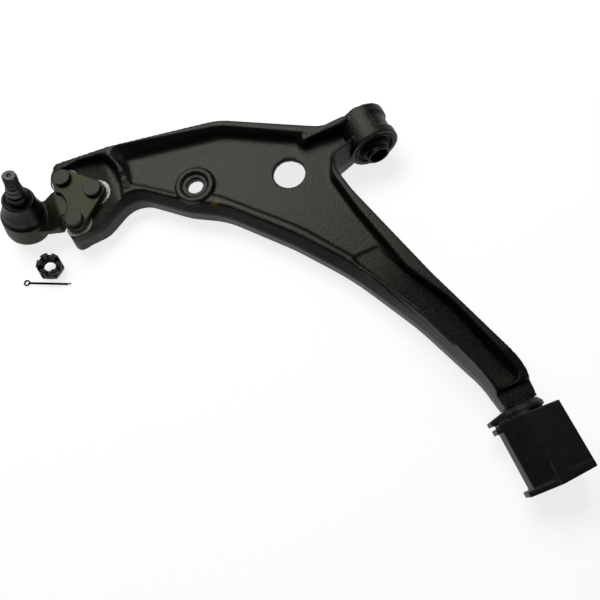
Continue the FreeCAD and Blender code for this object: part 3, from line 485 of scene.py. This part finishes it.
def turned_steel(name, colour_low, colour_high, roughness, axis, mark_mm, depth_mm):
    """Metal with marks that run round an axis, spaced along it."""
    material, tree, shader, place = new_material(name, Metallic=1.0, Roughness=roughness)
    height = along(tree, place, tuple(axis))
    marks = add(tree, "ShaderNodeTexNoise", {"noise_dimensions": "1D"},
                {"W": height, "Scale": per_metre(mark_mm), "Detail": 3.0}).outputs["Fac"]
    stain = noise(tree, place, 4.0, 3.0)
    tree.links.new(blend_colour(tree, stain, linear(colour_low), linear(colour_high)),
                   shader.inputs["Base Color"])
    tree.links.new(blend_value(tree, stain, roughness - 0.06, roughness + 0.08), shader.inputs["Roughness"])
    emboss(tree, shader, marks, depth_mm)
    return material


stud_steel = turned_steel("ground_steel", "#4a4b4b", "#65676a", 0.46, STUD_AXIS, 0.8, 0.02)
sleeve_steel = turned_steel("drawn_tube_steel", "#2a2a28", "#3c3c38", 0.42, (0, 1, 0), 0.9, 0.02)
black_steel = turned_steel("blackened_steel", "#313130", "#4d4d4b", 0.40, (0, 0, 1), 1.3, 0.01)
clip_steel = turned_steel("spring_wire_steel", "#2e2e2c", "#41413e", 0.34, STUD_AXIS, 0.6, 0.01)
black_oxide = phosphate("black_oxide_wire", "#050505", "#090909", 0.80, (1.0, 1.0, 1.0, 1))
black_oxide.node_tree.nodes["Principled BSDF"].inputs["Specular IOR Level"].default_value = 0.2


def moulded_plastic():
    """Acetal of the ball's seats, seen only when the joint is taken apart."""
    material, tree, shader, place = new_material("moulded_acetal", Roughness=0.38)
    flow = noise(tree, place, 5.0, 3.0)
    tree.links.new(blend_colour(tree, flow, linear("#cfc9b8"), linear("#dcd7c8")),
                   shader.inputs["Base Color"])
    emboss(tree, shader, flow, 0.02)
    return material


acetal = moulded_plastic()
print("made", stud_steel.name, sleeve_steel.name, black_steel.name, clip_steel.name, acetal.name)

# %% [markdown]
# A casting or a moulding has no sharp corner.  A copy of each such solid is remeshed into small even
# faces and relaxed for a few passes, which rounds its corners by about a voxel or two.  Machined parts
# of it are held back by a weight, so that they stay crisp.

# %% Softened copies


def finished(name, mesh, material, body, *nodes):
    """Put a mesh in the scene under its name, finish and body, in place of the given nodes."""
    mesh.name = name
    mesh.materials.clear()
    mesh.materials.append(material)
    for face in mesh.polygons:
        face.use_smooth = True
        face.material_index = 0
    piece = bpy.data.objects.new(name, mesh)
    bpy.context.scene.collection.objects.link(piece)
    if body:
        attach(piece, body)
    if nodes:
        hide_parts(*nodes)
    print(name, "has", len(mesh.polygons), "faces")
    return piece


def evaluated_mesh(piece):
    """The mesh that a piece's modifiers make; the piece itself is removed."""
    graph = bpy.context.evaluated_depsgraph_get()
    graph.update()
    mesh = bpy.data.meshes.new_from_object(piece.evaluated_get(graph), depsgraph=graph)
    bpy.data.objects.remove(piece)
    return mesh


def loose_object(mesh):
    """A passing object to work on."""
    piece = bpy.data.objects.new("work_piece", mesh)
    bpy.context.scene.collection.objects.link(piece)
    return piece


def relaxing(piece, name, passes, weight=None):
    """Add one relaxing modifier; weight(points in mm) gives 0..1 where it works."""
    relax = piece.modifiers.new(name, "SMOOTH")
    relax.factor = 0.5
    relax.iterations = passes
    if weight:
        points = np.array([v.co for v in piece.data.vertices]) / MM
        group = piece.vertex_groups.new(name=name)
        shares = np.round(weight(points), 1)
        for share in np.unique(shares):
            group.add(np.nonzero(shares == share)[0].tolist(), float(share), "REPLACE")
        relax.vertex_group = name


def softened(node, voxel_mm, passes, weight=None, hollows=None, hollow_passes=60):
    """A remeshed, relaxed copy of a node's mesh; the hollows are relaxed further, into wide coves."""
    bm = bmesh.new()
    bm.from_mesh(frame["nodes"][node].data)
    bmesh.ops.remove_doubles(bm, verts=bm.verts, dist=2e-6)
    mesh = bpy.data.meshes.new("work_mesh")
    bm.to_mesh(mesh)
    bm.free()
    piece = loose_object(mesh)
    remesh = piece.modifiers.new("even_faces", "REMESH")
    remesh.mode = "VOXEL"
    remesh.voxel_size = voxel_mm * MM
    piece = loose_object(evaluated_mesh(piece))
    relaxing(piece, "round_corners", passes, weight)
    if hollows:
        relaxing(piece, "wide_coves", hollow_passes, hollows)
    return evaluated_mesh(piece)


print("softening works on copies, so the solids stay as they are")

# %% The casting
mounts = {m["name"]: m for m in frame["record"]["mounts"]}
LINK = Vector(mounts["link_bore"]["pos_m"]) / MM
LINK_BOSS_REACH = 14.5
EYE_REACH = 20.5
EYE_FACE_Y = 13
COVE_REACH = 15                                           # from the foot of the front rim
FRONT_RIM_FOOT = [(39, 0), (118, -49), (206, -67), (236, -72)]


def machined_weight(points):
    """Little relaxing on the link boss and the eye's end faces, full relaxing elsewhere."""
    share = np.ones(len(points))
    share[np.hypot(points[:, 0] - LINK.x, points[:, 1] - LINK.y) < LINK_BOSS_REACH] = 0.3
    in_eye = np.hypot(points[:, 0], points[:, 2]) < EYE_REACH
    share[in_eye & (np.abs(points[:, 1]) > EYE_FACE_Y)] = 0.4
    return share


def near_line(points, line):
    """Least distance in plan from points to a line of corners."""
    best = np.full(len(points), 1e9)
    for (ax, ay), (bx, by) in zip(line, line[1:]):
        along_line = np.array([bx - ax, by - ay])
        off = points[:, :2] - (ax, ay)
        t = np.clip(off @ along_line / (along_line @ along_line), 0, 1)
        best = np.minimum(best, np.hypot(*(off - t[:, None] * along_line).T))
    return best


def cove_weight(points):
    """The foot of the front rim and the low floor round the riveted flange, without the milled pads."""
    x, y, z = points.T
    foot = (near_line(points, FRONT_RIM_FOOT) < COVE_REACH) & (z > 5.2) & (z < 12) & (x < 232)
    floor = (x >= 232) & (z > 4.6) & (z < 10.5)
    share = (foot | floor).astype(float)
    for centre in rivet_centres:
        share[np.hypot(x - centre.x / MM, y - centre.y / MM) < PAD_RADIUS + 0.8] = 0
    return share


arm = finished("arm_casting", softened("arm_forging", 1.15, 3, machined_weight, cove_weight), enamel, "arm",
               "arm_forging")

# %% The ball joint housing and the rear rubber block


def neck_weight(points):
    """The neck between the riveted flange and the cup, but not its underside."""
    x, y, z = points.T
    return ((x > 279) & (np.hypot(x - BALL.x / MM, y - BALL.y / MM) > 21) & (z > -8)).astype(float)


housing = finished("joint_housing", softened("ball_joint_housing", 0.62, 3, None, neck_weight, 45),
                   forging_finish, "arm", "ball_joint_housing")
rear_block = finished("rear_rubber_block", softened("rear_bush_block", 0.6, 2), block_rubber, "rear_block",
                      "rear_bush_block")

# %% [markdown]
# Turned and moulded round parts are drawn as half a section and spun about their axis.  Corners of the
# section are rounded first, because a spun sharp corner never catches the light.

# %% Spun parts


def rounded_section(rows, steps=4):
    """(radius, height, corner radius) rows in mm, a closed loop, with the corners turned into arcs."""
    out = []
    count = len(rows)
    for i, (r, z, corner) in enumerate(rows):
        here = Vector((r, z))
        before = Vector(rows[i - 1][:2]) - here
        after = Vector(rows[(i + 1) % count][:2]) - here
        if corner <= 0 or before.length < 1e-6 or after.length < 1e-6:
            out.append((r, z))
            continue
        angle = before.angle(after)
        reach = min(corner / math.tan(angle / 2), 0.48 * before.length, 0.48 * after.length)
        start, end = here + before.normalized() * reach, here + after.normalized() * reach
        for k in range(steps + 1):
            t = k / steps
            point = start * (1 - t) ** 2 + here * 2 * t * (1 - t) + end * t ** 2
            out.append((point.x, point.y))
    return out


def spun_mesh(section, place, around=96):
    """Spin a closed section about the local Z axis, and put it in place."""
    bm = bmesh.new()
    rings = []
    for i in range(around):
        turn_by = 2 * math.pi * i / around
        rings.append([bm.verts.new((r * MM * math.cos(turn_by), r * MM * math.sin(turn_by), z * MM))
                      for r, z in section])
    count = len(section)
    for i in range(around):
        for k in range(count):
            a, b = rings[i], rings[(i + 1) % around]
            bm.faces.new((a[k], b[k], b[(k + 1) % count], a[(k + 1) % count]))
    bmesh.ops.remove_doubles(bm, verts=bm.verts, dist=1e-6)
    bmesh.ops.dissolve_degenerate(bm, edges=bm.edges, dist=1e-7)
    bmesh.ops.recalc_face_normals(bm, faces=bm.faces)
    mesh = bpy.data.meshes.new("spun")
    bm.to_mesh(mesh)
    bm.free()
    mesh.transform(place)
    return mesh


ALONG_PIVOT = Matrix.Rotation(-math.pi / 2, 4, "X")     # local Z becomes +Y
lean = Vector((0, 0, 1)).rotation_difference(STUD_AXIS).to_matrix().to_4x4()
AT_BALL = Matrix.Translation(BALL) @ lean
print("stud leans", round(math.degrees(STUD_AXIS.angle(Vector((0, 0, 1)))), 1), "degrees")

# %% [markdown]
# The front bush is three rings.  A thin outer sleeve is pressed into the eye, a thick inner sleeve takes
# the bolt, and the rubber between them is bonded to both, so it climbs the inner sleeve in a cone with a
# soft hollow round its foot.

# %% Front bush
half_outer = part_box("front_bush_outer_sleeve")[1].y / MM
outer_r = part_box("front_bush_outer_sleeve")[1].x / MM
wall = outer_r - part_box("front_bush_rubber")[1].x / MM
outer = rounded_section([(outer_r, -half_outer, 0.5), (outer_r, half_outer, 0.5),
                         (outer_r - wall, half_outer, 0.5), (outer_r - wall, -half_outer, 0.5)])
piece = finished("bush_outer_sleeve", spun_mesh(outer, ALONG_PIVOT), sleeve_steel, "arm",
                 "front_bush_outer_sleeve")

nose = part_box("front_bush_rubber")[1].y / MM
sleeve_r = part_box("front_bush_inner_sleeve")[1].x / MM
rubber_r = outer_r - wall
half_profile = [(sleeve_r + 0.05, nose), (sleeve_r + 1.3, nose - 0.2), (sleeve_r + 1.9, nose - 2.6),
                (sleeve_r + 3.3, nose - 6.6), (rubber_r - 1.2, nose - 7.2), (rubber_r, half_outer - 1.4)]
section = [(r, y, 1.0) for r, y in half_profile]
section[0] = half_profile[0] + (0,)
section += [(r, -y, 1.0) for r, y in reversed(half_profile)]
section[-1] = section[-1][:2] + (0,)
piece = finished("bush_rubber_ring", spun_mesh(rounded_section(section), ALONG_PIVOT), bush_rubber, "arm",
                 "front_bush_rubber")

half_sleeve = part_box("front_bush_inner_sleeve")[1].y / MM
BOLT_R = mounts["front_bush_bore"]["dims"]["r_mm"]
inner = rounded_section([(sleeve_r, -half_sleeve, 0.6), (sleeve_r, half_sleeve, 0.6),
                         (BOLT_R, half_sleeve, 0.9), (BOLT_R, -half_sleeve, 0.9)])
piece = finished("bush_inner_sleeve", spun_mesh(inner, ALONG_PIVOT), sleeve_steel, "front_sleeve",
                 "front_bush_inner_sleeve")

# %% [markdown]
# The rivets were set cold under a flat die, so each head is a thick disc with a rolled edge.  One rivet is
# spun, and a node tree puts it at each rivet's place, turned at random as a press leaves it.

# %% Rivets
RIVET_SHANK_R = 5.0
RIVET_HEAD_R = 8.0
RIVET_HEAD_HEIGHT = 4.0
RIVET_TAIL_R = 7.0
RIVET_TAIL_HEIGHT = 3.2
FULL_TURN = 6.2832


def rivet_section():
    """Half a rivet: tail, shank, and a head that dips a little in the middle."""
    top = rivet_high.z / MM
    bottom = rivet_low.z / MM
    head = top - RIVET_HEAD_HEIGHT
    tail = bottom + RIVET_TAIL_HEIGHT
    return rounded_section([(0, bottom, 0), (RIVET_TAIL_R, bottom, 1.5), (RIVET_TAIL_R, tail, 0.2),
                            (RIVET_SHANK_R, tail, 0), (RIVET_SHANK_R, head, 0), (RIVET_HEAD_R, head, 0.4),
                            (RIVET_HEAD_R, top, 1.3), (6.2, top - 0.06, 0.2), (0, top - 0.12, 0)])


def scatter_tree():
    """Node tree: put an object at each point of a mesh, turned at random about Z."""
    tree = bpy.data.node_groups.new("set_rivets", "GeometryNodeTree")
    face = tree.interface
    face.new_socket("Points", in_out="INPUT", socket_type="NodeSocketGeometry")
    face.new_socket("Rivet", in_out="INPUT", socket_type="NodeSocketObject")
    face.new_socket("Turn", in_out="INPUT", socket_type="NodeSocketFloat")
    face.new_socket("Finish", in_out="INPUT", socket_type="NodeSocketMaterial")
    face.new_socket("Mesh", in_out="OUTPUT", socket_type="NodeSocketGeometry")
    given = add(tree, "NodeGroupInput")
    rivet = add(tree, "GeometryNodeObjectInfo", None, {"Object": given.outputs["Rivet"]})
    angle = add(tree, "FunctionNodeRandomValue", {"data_type": "FLOAT"},
                {2: 0.0, 3: given.outputs["Turn"], "Seed": 7})
    spread = add(tree, "ShaderNodeCombineXYZ", None, {"Z": angle.outputs[1]})
    placed = add(tree, "GeometryNodeInstanceOnPoints", None,
                 {"Points": given.outputs["Points"], "Instance": rivet.outputs["Geometry"],
                  "Rotation": spread.outputs[0]})
    real = add(tree, "GeometryNodeRealizeInstances", None, {"Geometry": placed.outputs[0]})
    painted = add(tree, "GeometryNodeSetMaterial", None,
                  {"Geometry": real.outputs[0], "Material": given.outputs["Finish"]})
    add(tree, "NodeGroupOutput", None, {"Mesh": painted.outputs[0]})
    return tree


def with_nodes(mesh, tree, values):
    """The plain mesh that a node tree makes from a mesh and its named inputs."""
    piece = loose_object(mesh)
    modifier = piece.modifiers.new("nodes", "NODES")
    modifier.node_group = tree
    for item in tree.interface.items_tree:
        if item.in_out == "INPUT" and item.name in values:
            modifier[item.identifier] = values[item.name]
    return evaluated_mesh(piece)


rivet_object = loose_object(spun_mesh(rivet_section(), Matrix.Identity(4), 48))
points = bpy.data.meshes.new("rivet_points")
points.from_pydata([(c.x, c.y, 0) for c in rivet_centres], [], [])
rivets = with_nodes(points, scatter_tree(),
                    {"Rivet": rivet_object, "Turn": FULL_TURN, "Finish": rivet_finish})
bpy.data.objects.remove(rivet_object)
piece = finished("flange_rivets", rivets, rivet_finish, "arm", "ball_joint_rivets")

# %% [markdown]
# A thread is a ridge that climbs a fixed distance each turn, so its shape follows a rule: a spiral curve
# with a small bead as its section.  The same tree makes the stud's thread, the nut's, and the wire clip
# round the boot, which is a spiral of just over one turn.

# %% Spiral tree


def spiral_tree():
    """Node tree: a round bead swept along a spiral about Z."""
    tree = bpy.data.node_groups.new("spiral_bead", "GeometryNodeTree")
    face = tree.interface
    face.new_socket("Start", in_out="INPUT", socket_type="NodeSocketGeometry")
    for name in ("Radius", "Height", "Turns", "Bead"):
        face.new_socket(name, in_out="INPUT", socket_type="NodeSocketFloat")
    face.new_socket("Finish", in_out="INPUT", socket_type="NodeSocketMaterial")
    face.new_socket("Mesh", in_out="OUTPUT", socket_type="NodeSocketGeometry")
    given = add(tree, "NodeGroupInput")
    path = add(tree, "GeometryNodeCurveSpiral", None,
               {"Resolution": 72, "Rotations": given.outputs["Turns"],
                "Start Radius": given.outputs["Radius"], "End Radius": given.outputs["Radius"],
                "Height": given.outputs["Height"]})
    bead = add(tree, "GeometryNodeCurvePrimitiveCircle", None,
               {"Resolution": 8, "Radius": given.outputs["Bead"]})
    swept = add(tree, "GeometryNodeCurveToMesh", None,
                {"Curve": path.outputs[0], "Profile Curve": bead.outputs[0], "Fill Caps": True})
    real = add(tree, "GeometryNodeRealizeInstances", None, {"Geometry": swept.outputs[0]})
    painted = add(tree, "GeometryNodeSetMaterial", None,
                  {"Geometry": real.outputs[0], "Material": given.outputs["Finish"]})
    add(tree, "NodeGroupOutput", None, {"Mesh": painted.outputs[0]})
    return tree


bead_tree = spiral_tree()


def bead_mesh(radius, height, turns, bead, finish, place):
    """A spiral bead in mm, put in place, with its faces outward."""
    empty = bpy.data.meshes.new("spiral_start")
    values = {"Radius": radius * MM, "Height": height * MM, "Turns": float(turns), "Bead": bead * MM,
              "Finish": finish}
    mesh = with_nodes(empty, bead_tree, values)
    bm = bmesh.new()
    bm.from_mesh(mesh)
    bmesh.ops.recalc_face_normals(bm, faces=bm.faces)
    bm.to_mesh(mesh)
    bm.free()
    mesh.transform(place)
    return mesh


print("one tree, three uses")

# %% [markdown]
# The ball stud: a ball, a straight shank that the boot's collar turns on, a short shoulder and the
# threaded end, drilled across for the split pin and centre-drilled for the lathe.  The crossing hole is
# cut by a boolean modifier that is applied at once.  The ball is drawn 0.2 mm smaller in radius than its
# solid, inside the housing where it can't be seen.  Its running gap is only 0.05 mm, and the facets of
# ball and seats could cut each other there; the exact fit is the solids' matter.

# %% Ball stud
STUD_LENGTH = 61.5
THREAD_PITCH = 1.25
THREAD_START = 49.0
THREAD_DEPTH = 0.45
SHANK_R = 7.2
THREAD_R = 6.0
BALL_DRAWN_R = 11.3
NECK_R = 6.2
CROSS_HOLE_R = 1.6
CROSS_HOLE_FROM_TIP = 8.5
CROSS_HOLE_TURN = 25      # degrees from +X


def stud_section():
    """Half the stud: ball, neck, shank, shoulder, undercut, thread core and centre drilling."""
    rows = [(0, -BALL_DRAWN_R, 0)]
    for k in range(1, 14):
        turn_by = math.radians(10.5 * k - 90)
        rows.append((BALL_DRAWN_R * math.cos(turn_by), BALL_DRAWN_R * math.sin(turn_by), 0))
    rows += [(NECK_R, 9.6, 0.6), (NECK_R, 16.0, 1.0), (SHANK_R, 20.0, 1.0), (SHANK_R, 42.6, 0.3),
             (SHANK_R - 0.7, 43.3, 0.3), (6.4, 47.2, 0.2), (THREAD_R - 0.8, 47.6, 0.2),
             (THREAD_R - 0.8, THREAD_START, 0.2), (THREAD_R - THREAD_DEPTH, THREAD_START + 0.4, 0.1),
             (THREAD_R - THREAD_DEPTH, 60.2, 0.1), (4.9, STUD_LENGTH, 0.5), (2.1, STUD_LENGTH, 0.25),
             (0.0, STUD_LENGTH - 2.0, 0)]
    return rounded_section(rows)


stud_mesh = spun_mesh(stud_section(), Matrix.Identity(4))
stud = loose_object(stud_mesh)
drill_section = [(0, -12), (CROSS_HOLE_R, -12), (CROSS_HOLE_R, 12), (0, 12)]
drill_mesh = spun_mesh(drill_section, Matrix.Rotation(math.pi / 2, 4, "Y"), 32)
drill_place = Matrix.Translation((0, 0, (STUD_LENGTH - CROSS_HOLE_FROM_TIP) * MM))
drill_mesh.transform(drill_place @ Matrix.Rotation(math.radians(CROSS_HOLE_TURN), 4, "Z"))
drill = loose_object(drill_mesh)
cut = stud.modifiers.new("cross_hole", "BOOLEAN")
cut.object = drill
cut.operation = "DIFFERENCE"
cut.solver = "EXACT"
stud_mesh = evaluated_mesh(stud)
bpy.data.objects.remove(drill)
stud_mesh.transform(AT_BALL)
stud = finished("ball_joint_stud", stud_mesh, stud_steel, "stud", "ball_stud")
thread_length = STUD_LENGTH - 2.0 - THREAD_START
stud_thread = bead_mesh(THREAD_R - THREAD_DEPTH, thread_length, thread_length / THREAD_PITCH, THREAD_DEPTH,
                        stud_steel, AT_BALL @ Matrix.Translation((0, 0, (THREAD_START + 0.7) * MM)))
piece = finished("stud_thread", stud_thread, stud_steel, "stud")

# %% [markdown]
# The dust boot is one neoprene moulding.  In the car its lower part leans fore and aft with the bearing
# shell and its upper part leans sideways with the collar ring; here it is made as two fixed spun walls that
# meet on one ring.  The foot sits round the cup, a cone climbs to a rolled crest, and a valley parts the
# crest from the collar.

# %% Dust boot
FOOT_TOP = 8.4
SPLIT = 14.4
FOLLOWS_COLLAR = 24.7    # the collar's part of the upper wall begins about this high
ABOVE_LIP = 50.0
JOIN = 0.1               # each wall's given span stops this short of the ring where the walls meet
RING_RELIEF = 0.07
RING_PITCH = 2.4
boot_outside = [(18.0, 5.1), (18.0, 6.0), (17.75, 6.7), (18.0, 7.5), (17.9, 8.6), (17.4, 10.4), (16.9, 12.4),
                (16.3, 14.4), (16.1, 15.0), (15.75, 16.2), (15.5, 17.0), (15.2, 18.2), (14.7, 20.2),
                (14.3, 22.2), (14.0, 24.2), (13.95, 26.2), (13.6, 27.8), (12.9, 28.8), (11.9, 29.1),
                (10.9, 28.5), (10.1, 27.6), (9.5, 27.4), (9.05, 28.2), (8.95, 30.0), (8.9, 33.0),
                (8.95, 34.6), (8.7, 36.4), (8.2, 37.0)]
boot_inside = [(8.0, 36.6), (7.95, 33.8), (7.5, 32.0), (7.45, 27.0), (8.6, 25.6), (10.0, 26.2),
               (11.4, 27.4), (12.4, 26.6), (12.75, 24.4), (13.1, 22.2), (13.6, 20.2), (14.2, 18.2),
               (14.55, 17.0), (14.85, 16.2), (15.25, 15.0), (15.4, 14.4), (15.55, 13.8), (15.9, 11.8),
               (16.5, 9.0), (16.5, 5.1)]


def fine_curve(rows, per_span=4):
    """Catmull-Rom curve through (radius, height) rows."""
    pts = np.array([rows[0]] + list(rows) + [rows[-1]])
    out = []
    for i in range(1, len(pts) - 2):
        for t in np.linspace(0, 1, per_span, endpoint=False):
            a, b, c, d = pts[i - 1:i + 3]
            out.append(0.5 * (2 * b + (c - a) * t + (2 * a - 5 * b + 4 * c - d) * t ** 2
                              + (3 * b - a - 3 * c + d) * t ** 3))
    out.append(pts[-2])
    return np.array(out)


def ridged(rows):
    """Faint rings that the mould's turning left on the cone."""
    rows = rows.copy()
    on_cone = (rows[:, 1] > 9) & (rows[:, 1] < 26)
    rows[on_cone, 0] += RING_RELIEF * np.sin(rows[on_cone, 1] * 2 * math.pi / RING_PITCH)
    return rows


def boot_part(name, low, high):
    """The boot's wall between two heights, spun and placed on the joint's axis."""
    outside = ridged(fine_curve(boot_outside))
    inside = fine_curve(boot_inside)
    keep_out = [tuple(p) for p in outside if low - 1e-6 <= p[1] <= high + 1e-6]
    keep_in = [tuple(p) for p in inside if low - 1e-6 <= p[1] <= high + 1e-6]
    return spun_mesh(keep_out + keep_in, AT_BALL, 128)


BOOT_WALLS = (
    ("boot_lower_wall", 0.0, SPLIT, ("arm", "leaning_shell"), FOOT_TOP, SPLIT - JOIN),
    ("boot_upper_wall", SPLIT, ABOVE_LIP, ("leaning_shell", "boot_collar"), SPLIT + JOIN, FOLLOWS_COLLAR))
for name, low, high, bodies, start, end in BOOT_WALLS:
    wall_piece = finished(name, boot_part(name, low, high), boot_rubber, None, "dust_boot")
    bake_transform(wall_piece)

clip_r = (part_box("boot_clip")[1].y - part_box("boot_clip")[0].y) / 2 / MM
clip = bead_mesh(clip_r - 0.75, 0.9, 1.06, 0.6, clip_steel, AT_BALL @ Matrix.Translation((0, 0, 6.3 * MM)))
piece = finished("boot_wire_clip", clip, clip_steel, "arm", "boot_clip")

# %% [markdown]
# The castle nut is forged and tumbled, so a softened copy with round corners takes its place, and the
# spiral tree lays the thread inside its bore.  The split pin is bent from half-round wire; it keeps its
# solid and gets its finish with the inner parts below.

# %% Nut
NUT_THREAD_LENGTH = 6.4
nut = finished("slotted_nut", softened("castle_nut", 0.32, 4), black_steel, "nut", "castle_nut")
mount = mounts["nut_thread"]
nut_axis = Vector(mount["axis"]).normalized()
nut_turn = Vector((0, 0, 1)).rotation_difference(nut_axis).to_matrix().to_4x4()
nut_place = Matrix.Translation(Vector(mount["pos_m"]) - nut_axis * mount["dims"]["length_mm"] * MM) @ nut_turn
nut_thread = bead_mesh(mount["dims"]["r_mm"] + 0.1, NUT_THREAD_LENGTH, NUT_THREAD_LENGTH / THREAD_PITCH,
                       0.42, black_steel, nut_place @ Matrix.Translation((0, 0, 0.6 * MM)))
piece = finished("nut_inner_thread", nut_thread, black_steel, "nut")

# %% [markdown]
# The parts inside the joint keep their solids.  They are seen only when the joint is taken apart, and
# they still get their own finish.  The boot's collar ring, the rear bush's sleeve and the split pin keep
# their solids too.

# %% Kept solids
for node, finish in (("ball_joint_cover", sleeve_steel), ("preload_spring", clip_steel),
                     ("ball_pressure_seat", acetal), ("ball_seat_upper", acetal), ("bearing_shell", acetal),
                     ("boot_collar_ring", sleeve_steel), ("rear_bush_inner_sleeve", sleeve_steel),
                     ("cotter_pin", black_oxide)):
    mesh = frame["nodes"][node].data
    mesh.materials.clear()
    mesh.materials.append(finish)
print("kept nodes:", sorted(n for n, o in frame["nodes"].items() if not o.hide_render))
